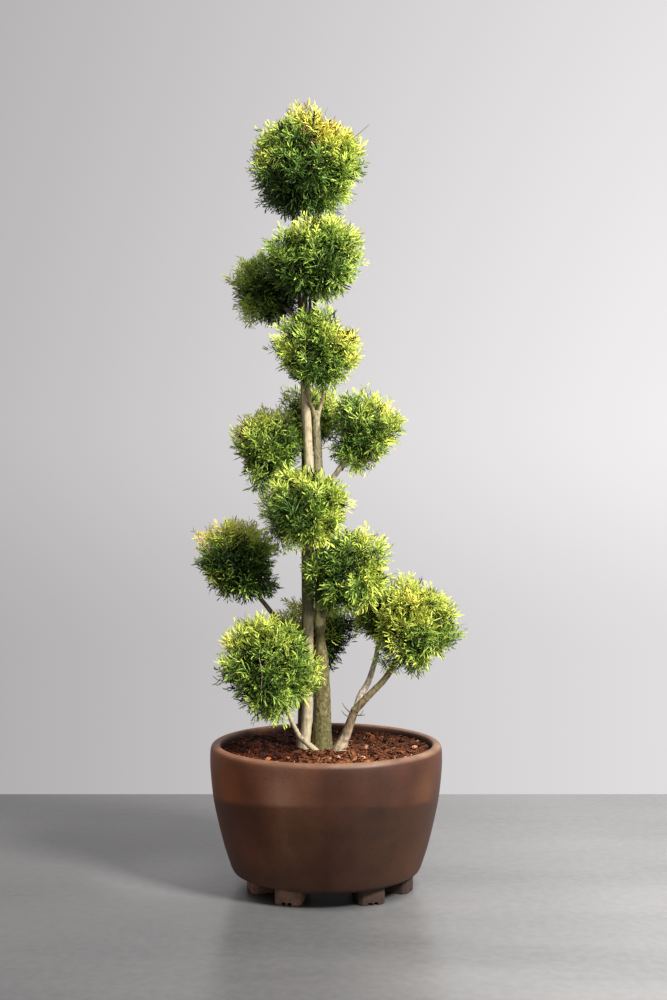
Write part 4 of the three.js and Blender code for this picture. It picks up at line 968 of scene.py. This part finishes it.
def spray_template(g, count, fine=True):
    """A spray of leafy branchlets, one unit long along x, spread in y. Each branchlet is a strip
    that widens from its foot and curves to a point. Returns vertices, faces and their tones."""
    verts, faces, tones = [], [], []
    curl = g.uniform(-0.25, 0.35)
    sway = g.uniform(-0.22, 0.22)

    def axis(t):
        return np.array([t * (1 - 0.06 * t * t), sway * t * t, curl * t * t])

    def blade(start, d1, d2, length, half, twist, tone):
        dm = unit(d1 + d2)
        k = len(verts)
        if fine:
            c1 = start + d1 * length * 0.36
            c2 = c1 + dm * length * 0.38
            tip = c2 + d2 * length * 0.26
            rows = ((c1, unit(d1 + dm), half), (c2, unit(dm + d2), half * 0.9))
        else:
            c1 = start + d1 * length * 0.5
            tip = c1 + d2 * length * 0.5
            rows = ((c1, dm, half * 1.05),)
        verts.append(start)
        for c, d, w in rows:
            flat = unit(np.cross(np.array([0, 0, 1.0]), d))
            flat = flat * math.cos(twist) + np.cross(d, flat) * math.sin(twist)
            verts.extend([c - flat * w, c + flat * w])
        verts.append(tip)
        if fine:
            faces.extend([(k, k + 1, k + 2), (k + 1, k + 3, k + 4), (k + 1, k + 4, k + 2), (k + 3, k + 5, k + 4)])
            tones.extend([tone - 0.75, tone - 0.1, tone + 0.2, tone + 0.7])
        else:
            faces.extend([(k, k + 1, k + 2), (k + 1, k + 3, k + 2)])
            tones.extend([tone - 0.3, tone + 0.3])

    blade(axis(0), unit(axis(0.5)), unit(axis(1.0) - axis(0.5)), 0.9, 0.019, g.normal(0, 0.6), g.choice([-1.2, 0.9]))
    for k in range(count):
        t = max(0.03, 0.06 + 0.78 * (k + g.uniform(-0.3, 0.3)) / count)
        sign = 1 if k % 2 else -1
        length = 0.76 * (1 - 0.42 * t) * g.uniform(0.72, 1.2)
        a = math.radians(g.uniform(20, 56) - 8 * t)
        lift = g.normal(0.12, 0.32)
        b = a - math.radians(g.uniform(-45, 110))
        d1 = unit(np.array([math.cos(a), sign * math.sin(a), lift]))
        d2 = unit(np.array([math.cos(b), sign * math.sin(b), lift + g.normal(0.5, 0.7)]))
        blade(axis(t), d1, d2, length, g.uniform(0.028, 0.04), g.normal(0, 0.5), -0.7 + 1.1 * t + g.normal(0, 0.3))
    end = unit(axis(1.0) - axis(0.8))
    blade(axis(0.74), end, unit(end + np.array([0, g.normal(0, 0.3), 0.15])), 0.42, 0.042, g.normal(0, 0.5), 0.6)
    return np.array(verts), np.array(faces), np.array(tones)


TEMPLATES = [spray_template(rng, 6) for k in range(20)]
INNER_TEMPLATES = [spray_template(rng, 7, False) for k in range(6)]


def sprays_to_arrays(origin, d, n, length, tone, g, templates, spread):
    """Copies of the spray templates: along d, flat against n."""
    which = g.integers(0, len(templates), len(origin))
    s = unit(np.cross(n, d))
    n = np.cross(d, s)
    out_v, out_f, out_t, who, base = [], [], [], [], 0
    for k, (tv, tf, tt) in enumerate(templates):
        pick = np.nonzero(which == k)[0]
        if not len(pick):
            continue
        flip = np.where(g.random(len(pick)) < 0.5, -1.0, 1.0)
        v = (origin[pick][:, None, :] + length[pick][:, None, None] * (tv[None, :, 0:1] * d[pick][:, None, :]
             + tv[None, :, 1:2] * (s[pick] * flip[:, None])[:, None, :] + tv[None, :, 2:3] * n[pick][:, None, :]))
        f = tf[None] + (np.arange(len(pick)) * len(tv))[:, None, None] + base
        each = 4 if templates is TEMPLATES else 2
        # the darker the spray, the more its ends stand out: its foot is darker as painted shade while its tips stay
        # pale
        span = 1.0 + 0.28 * np.clip(5.4 - tone[pick], 0, 2.6)
        shade = tone[pick][:, None] + tt[None] * span[:, None] + np.repeat(g.normal(0, spread, (len(pick), len(tt) // each)), each, axis=1)
        out_v.append(v.reshape(-1, 3))
        out_f.append(f.reshape(-1, 3))
        out_t.append(shade.reshape(-1))
        who.append(np.repeat(pick, len(tt)))
        base += v.shape[0] * v.shape[1]
    return np.concatenate(out_v), np.concatenate(out_f), np.concatenate(out_t), np.concatenate(who)


def tubes(points, radii, sides):
    """Many thin tubes at once: points (n, stations, 3), radii (n, stations)."""
    n, k, _ = points.shape
    d = np.empty_like(points)
    d[:, 1:-1] = points[:, 2:] - points[:, :-2]
    d[:, 0], d[:, -1] = points[:, 1] - points[:, 0], points[:, -1] - points[:, -2]
    d = unit(d)
    ref = np.where(np.abs(d[..., 2:3]) > 0.9, np.array([1.0, 0, 0]), np.array([0, 0, 1.0]))
    s = unit(np.cross(d, ref))
    u = np.cross(d, s)
    a = np.arange(sides) * 2 * math.pi / sides
    ring = s[:, :, None] * np.cos(a)[None, None, :, None] + u[:, :, None] * np.sin(a)[None, None, :, None]
    v = points[:, :, None] + ring * radii[:, :, None, None]
    f = []
    for i in range(k - 1):
        for j in range(sides):
            q = (j + 1) % sides
            f += [(i * sides + j, i * sides + q, (i + 1) * sides + q), (i * sides + j, (i + 1) * sides + q, (i + 1) * sides + j)]
    f = np.array(f)
    faces = (f[None] + (np.arange(n) * k * sides)[:, None, None]).reshape(-1, 3)
    return v.reshape(-1, 3), faces


def bent(a, b, sag, stations):
    """Points from a to b that leave a flat and turn upwards towards b."""
    t = np.linspace(0, 1, stations)[None, :, None]
    mid = (a + b) / 2 + sag
    return (1 - t) ** 2 * a[:, None] + 2 * t * (1 - t) * mid[:, None] + t**2 * b[:, None]


SHOOT_AREA = 1100.0  # mm2 of the cushion's surface for each shoot
INNER_AREA = 900.0  # the same for the sprays of the dark inner foliage, coloured near black as painted shade
UP = np.array([0, 0, 1.0])


def grow(mass):
    at, reach, deep, seed, feeds, painted_lit_angle, pale_bias, painted_light_span, patches = MASSES[mass]
    centre = np.array(at, float)
    g = np.random.default_rng(9000 + seed)
    mean = float(np.mean(reach))
    area = 4 * math.pi * mean * (mean + deep) / 2
    count = int(area / SHOOT_AREA)
    v = sphere_points(count, g)
    skin, normal = surface(mass, v)

    # shoots: each one ends near the surface, and its axis leans outwards and upwards
    rise = np.clip(0.42 + 0.45 * normal[:, 2:3], 0.04, 0.42)
    lean = unit(0.66 * normal + rise * UP + g.normal(0, 0.28, (count, 3)))
    short = np.clip(0.45 - (lean * normal).sum(1), 0, 1)[:, None]
    lean = unit(lean + 1.2 * short * normal)
    clump = layered(skin / 40.0 + seed * 3.7, 2) - 0.5
    proud = np.clip(40.0 * clump + g.normal(0.0, 3.0, count), -24, 9)
    proud += np.where(g.random(count) < 0.05, g.uniform(2, 7, count), 0)
    for towards, out, cone in TUFTS.get(mass, ()):
        towards = unit(np.array(towards, float))
        near = np.degrees(np.arccos(np.clip(v @ towards, -1, 1)))
        proud += out * np.exp(-((near / cone) ** 2))
    tip = skin + normal * proud[:, None]
    end_len = g.uniform(34, 48, count)
    shoot_len = g.uniform(44, 64, count)
    shoot_end = tip - lean * (end_len * 0.92)[:, None]
    shoot_base = shoot_end - unit(lean * 0.7 + normal * 0.5) * shoot_len[:, None]

    # boughs: from the limbs that feed the cushion to nodes halfway out
    hubs = []
    for name in feeds:
        t = np.linspace(0, 1, 160)
        p, r, _ = curve_points(LIMBS[name], t)
        inside = np.linalg.norm((p - centre) / np.array([mean, deep, mean]), axis=1) < 0.92
        hubs.append(p[inside] if inside.any() else p[-1:])
        if len(hubs[-1]) < 12:
            hubs[-1] = np.concatenate([hubs[-1], p[-1] + (centre - p[-1]) * np.linspace(0, 0.9, 8)[:, None]])
    hubs = np.concatenate(hubs)
    bough_count = max(12, int(count / 8))
    bv = sphere_points(bough_count, g)
    bskin, _ = surface(mass, bv)
    node = centre + (bskin - centre) * g.uniform(0.36, 0.5, bough_count)[:, None]
    start = hubs[np.argmin(np.linalg.norm(hubs[None] - (node - UP * 30)[:, None], axis=2), axis=1)]
    tube_v, tube_f, base = [], [], 0

    def add(pts, radii, sides):
        nonlocal base
        a, b = tubes(pts, radii, sides)
        tube_v.append(a)
        tube_f.append(b + base)
        base += len(a)

    add(bent(start, node, -UP * 7 + g.normal(0, 4, (bough_count, 3)), 5), np.linspace(2.8, 1.6, 5)[None] * g.uniform(0.85, 1.15, (bough_count, 1)), 5)
    core = np.stack([hubs[np.argmin(np.linalg.norm(hubs - centre, axis=1))], centre])[None]
    add(bent(core[:, 0], core[:, 1], np.zeros((1, 3)), 4), np.full((1, 4), 3.0), 6)

    # twigs: from the nodes to the foot of each shoot, then the shoot itself
    near = np.argmin(np.linalg.norm(node[None] - shoot_base[:, None], axis=2), axis=1)
    add(bent(node[near], shoot_base, -UP * 3 + g.normal(0, 3, (count, 3)), 4), np.linspace(1.5, 1.0, 4)[None] * np.ones((count, 1)), 3)
    add(bent(shoot_base, shoot_end + lean * 6, g.normal(0, 1.5, (count, 3)), 3), np.linspace(1.0, 0.5, 3)[None] * np.ones((count, 1)), 3)

    # tone: palest on the side of the cushion where the key light falls and paler round its rim, both painted light,
    # with soft patches of painted light, painted shade and the foliage's own gold, darker inside as painted shade
    painted_lit_side = unit(np.array([math.cos(math.radians(painted_lit_angle)), -0.08, math.sin(math.radians(painted_lit_angle))]))

    def tone_of(v, p):
        facing = v @ painted_lit_side
        cloud = layered(p / 44.0 + seed * 5.1, 2) - 0.5
        tone = 4.95 + pale_bias + 1.2 * painted_light_span * (facing * 0.6 + 0.4 * facing * np.abs(facing)) + 3.2 * cloud + 0.7 * np.clip((np.hypot(v[:, 0], v[:, 2]) - 0.6) / 0.35, 0, 1) - 0.15
        gold = np.zeros(len(v))
        for angle, out, radius, change, goldness in patches:
            c = np.array([math.cos(math.radians(angle)), math.sin(math.radians(angle))]) * out
            d2 = ((v[:, 0] - c[0]) ** 2 + (v[:, 2] - c[1]) ** 2) / radius**2
            # the patches lie on the front half, and fade round the sides to the back
            w = np.exp(-d2) * np.clip(1.0 - 0.8 * v[:, 1], 0.35, 1.0)
            tone = tone + change * w
            gold = np.maximum(gold, goldness * w)
        return tone, gold

    shoot_tone, shoot_gold = tone_of(v, skin)
    # sprays in the cushion's hollows are darker, painted shade, and those standing out paler
    shoot_tone = shoot_tone + g.normal(0, 0.42, count) + 0.11 * np.clip(proud, -14, 9)

    # sprays: three at the end of each shoot, the rest up its sides in turn
    O, D, N, L, T, G, F = [], [], [], [], [], [], []
    # the lowest tone of an outer spray lifts unlit blades as painted light, less on the cushions painted dark
    floor_tone = 2.6 if pale_bias > -1.0 else 1.3
    any_side = unit(np.cross(lean, g.normal(0, 1, (count, 3))))
    other = np.cross(lean, any_side)
    for k, a in enumerate((0.0, 0.72, -0.72)):
        d = unit(lean + any_side * math.tan(a) + g.normal(0, 0.25, (count, 3)))
        O.append(shoot_end - lean * (2.0 + 3 * abs(a)))
        D.append(d)
        N.append(unit(other + g.normal(0, 0.5, (count, 3))))
        L.append(end_len * (1.0 if k == 0 else 0.86))
        T.append(shoot_tone + (0.3 if k == 0 else 0.05) + g.normal(0, 0.3, count))
        G.append(shoot_gold)
        F.append(np.full(count, floor_tone))
    laterals = 8
    for k in range(laterals):
        f = (k + 0.3) / laterals
        turn = 2.39996 * k + g.uniform(0, 0.7, count)
        sidew = any_side * np.cos(turn)[:, None] + other * np.sin(turn)[:, None]
        spread = g.uniform(0.7, 2.4, count) * (1.15 - 0.3 * f)
        d = unit(lean + sidew * spread[:, None] + g.normal(0.05, 0.25, (count, 1)) * UP)
        O.append(shoot_base + (shoot_end - shoot_base) * f)
        D.append(d)
        N.append(unit(np.cross(d, sidew) + g.normal(0, 0.7, (count, 3))))
        L.append(end_len * g.uniform(0.68, 1.06, count))
        # sprays lower on the shoot lie deeper in and are darker: painted shade
        T.append(shoot_tone - 3.0 + 2.7 * f + g.normal(0, 0.5, count))
        G.append(shoot_gold * (0.4 + 0.6 * f))
        F.append(0.9 + (floor_tone - 0.9) * np.clip(f * f + 0.03 * np.clip(proud, 0, 20), 0, 1))
    O, D, N, L, T, G, F = (np.concatenate(x) for x in (O, D, N, L, T, G, F))

    # the inner foliage further in, broad and dense, coloured near black as painted shade between the sprays
    inner_count = int(area * 0.55 / INNER_AREA)
    ov = sphere_points(inner_count, g)
    oskin, onormal = surface(mass, ov)
    oO = centre + (oskin - centre) * g.uniform(0.5, 0.66, inner_count)[:, None]
    across = unit(np.cross(onormal, g.normal(0, 1, (inner_count, 3))))
    oD = unit(across + onormal * g.uniform(-0.25, 0.3, inner_count)[:, None])
    oL = g.uniform(0.44, 0.58, inner_count) * mean
    oN = unit(onormal + g.normal(0, 0.35, (inner_count, 3)))
    oT = g.normal(0.3, 0.45, inner_count)

    def clear(O, D, L):
        keep = np.ones(len(O), bool)
        for name in ("stem_left", "stem_right", "stem_back"):
            p, r, _ = curve_points(LIMBS[name], np.linspace(0, 1, 120))
            for s in (0.0, 0.5, 1.0):
                q = O + D * (L * s)[:, None]
                keep &= (np.linalg.norm(q[:, None, :] - p[None], axis=2) - r[None]).min(1) > 1.0
        return keep

    keep = clear(O, D, L)
    vv, ff, tt, who = sprays_to_arrays(O[keep], D[keep], N[keep], L[keep], T[keep], g, TEMPLATES, 0.24)
    keep_sprays, who_sprays, V = keep, who, np.tile(v, (3 + laterals, 1))
    G = G[keep][who]
    tt = np.maximum(tt, F[keep][who])
    keep = clear(oO, oD, oL)
    ov_, of_, ot_, _ = sprays_to_arrays(oO[keep], oD[keep], oN[keep], oL[keep], oT[keep], g, INNER_TEMPLATES, 0.2)

    # tones above the greens turn gold only where the patches say so
    tone_index = np.clip(np.rint(tt), 1, GREENEST).astype(int)
    chance = g.random(len(tt))
    bright = tt > 5.2
    tone_index[bright & (G > 0.25 + 0.5 * chance)] = YELLOW
    tone_index[bright & (G > 0.62 + 0.75 * chance)] = ORANGE
    if mass == "mass_top":
        spot = np.array([0.16, 0.3])
        keep_v = np.linalg.norm(V[keep_sprays][who_sprays][:, [0, 2]] - spot, axis=1) < 0.1
        tone_index[keep_v & (V[keep_sprays][who_sprays][:, 1] < 0) & (tt > 2.5)] = DEAD
    # pale ribs show among the mid greens, partly the branchlets' own pale midribs and partly painted highlight
    rib = np.arange(len(tt)) // 4 % (len(TEMPLATES[0][2]) // 4) == 0
    tone_index[rib & (g.random(len(tt)) < 0.5) & (tt > 3.0)] = RIB_AND_PAINTED_HIGHLIGHT
    faces = np.concatenate([ff, of_ + len(vv)])
    tone_index = np.concatenate([tone_index, np.clip(np.rint(ot_), 0, 2).astype(int)])
    label = mass.replace("mass_", "")
    leaves = make_mesh("foliage_" + label, np.concatenate([vv, ov_]) * MM, faces, TONES, tone_index)
    place(leaves, "foliage", mass)
    twigs = make_mesh("twigs_" + label, np.concatenate(tube_v) * MM, np.concatenate(tube_f), [twig_bark])
    place(twigs, "bark_rough")
    return len(faces), sum(len(f) for f in tube_f)


def twig_material():
    n = Nodes("twig_bark")
    grain = n.noise(240.0, 3.0, 0.6)
    base = n.ramp(grain, [(0.3, linear((62, 48, 30))), (0.55, linear((98, 78, 50))), (0.8, linear((128, 106, 72)))])
    return n.set(Base_Color=base, Roughness=0.85, Specular_IOR_Level=0.25)


twig_bark = twig_material()
counts = {m: grow(m) for m in MASSES}

# bare dead twigs at the fork of the low right bough and on the top cushion's right
dead = []
for a, mid, b, r in [
    ((66, -36, 446), (52, -43, 456), (41, -45, 474), 2.2),
    ((62, -38, 438), (48, -45, 440), (40, -47, 455), 2.0),
    ((78, -40, 444), (89, -46, 440), (100, -48, 445), 2.2),
    ((84, -42, 441), (92, -46, 445), (95, -47, 456), 1.4),
    ((60, -12, 1925), (90, -16, 1946), (111, -18, 1966), 1.0),
    ((158, -42, 560), (150, -44, 574), (143, -45, 583), 1.1),
]:
    t = np.linspace(0, 1, 6)[:, None]
    dead.append(((1 - t) ** 2 * np.array(a) + 2 * t * (1 - t) * np.array(mid) + t**2 * np.array(b), np.linspace(r, 0.8, 6)))
dv, df = tubes(np.array([d[0] for d in dead], float), np.array([d[1] for d in dead]), 6)
spurs = make_mesh("dead_spurs", dv * MM, df, [plain_material("dead_bark", (112, 96, 84), 0.9, 0.2)], smooth=True)
place(spurs, "bark_rough")

# a bleached twig on the front of the low left cushion, and a straw on the mulch
bare = []
for a, mid, b, r in [
    ((-163, -205, 610), (-150, -214, 572), (-159, -204, 533), 0.8),
    ((23, -69, 353), (38, -72, 360), (55, -68, 356), 1.2),
]:
    t = np.linspace(0, 1, 7)[:, None]
    bare.append(((1 - t) ** 2 * np.array(a) + 2 * t * (1 - t) * np.array(mid) + t**2 * np.array(b), np.linspace(r, 0.6 * r, 7)))
bv, bf = tubes(np.array([d[0] for d in bare], float), np.array([d[1] for d in bare]), 6)
straws = make_mesh("bleached_straws", bv * MM, bf, [plain_material("straw", (204, 190, 156), 0.8, 0.2)], smooth=True)
place(straws, "bark_smooth")

total = sum(len(o.data.polygons) * (1 if len(o.data.loops) == 3 * len(o.data.polygons) else 2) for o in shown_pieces())
print("triangles", total, "largest foliage", max(c[0] for c in counts.values()), "twigs", sum(c[1] for c in counts.values()))
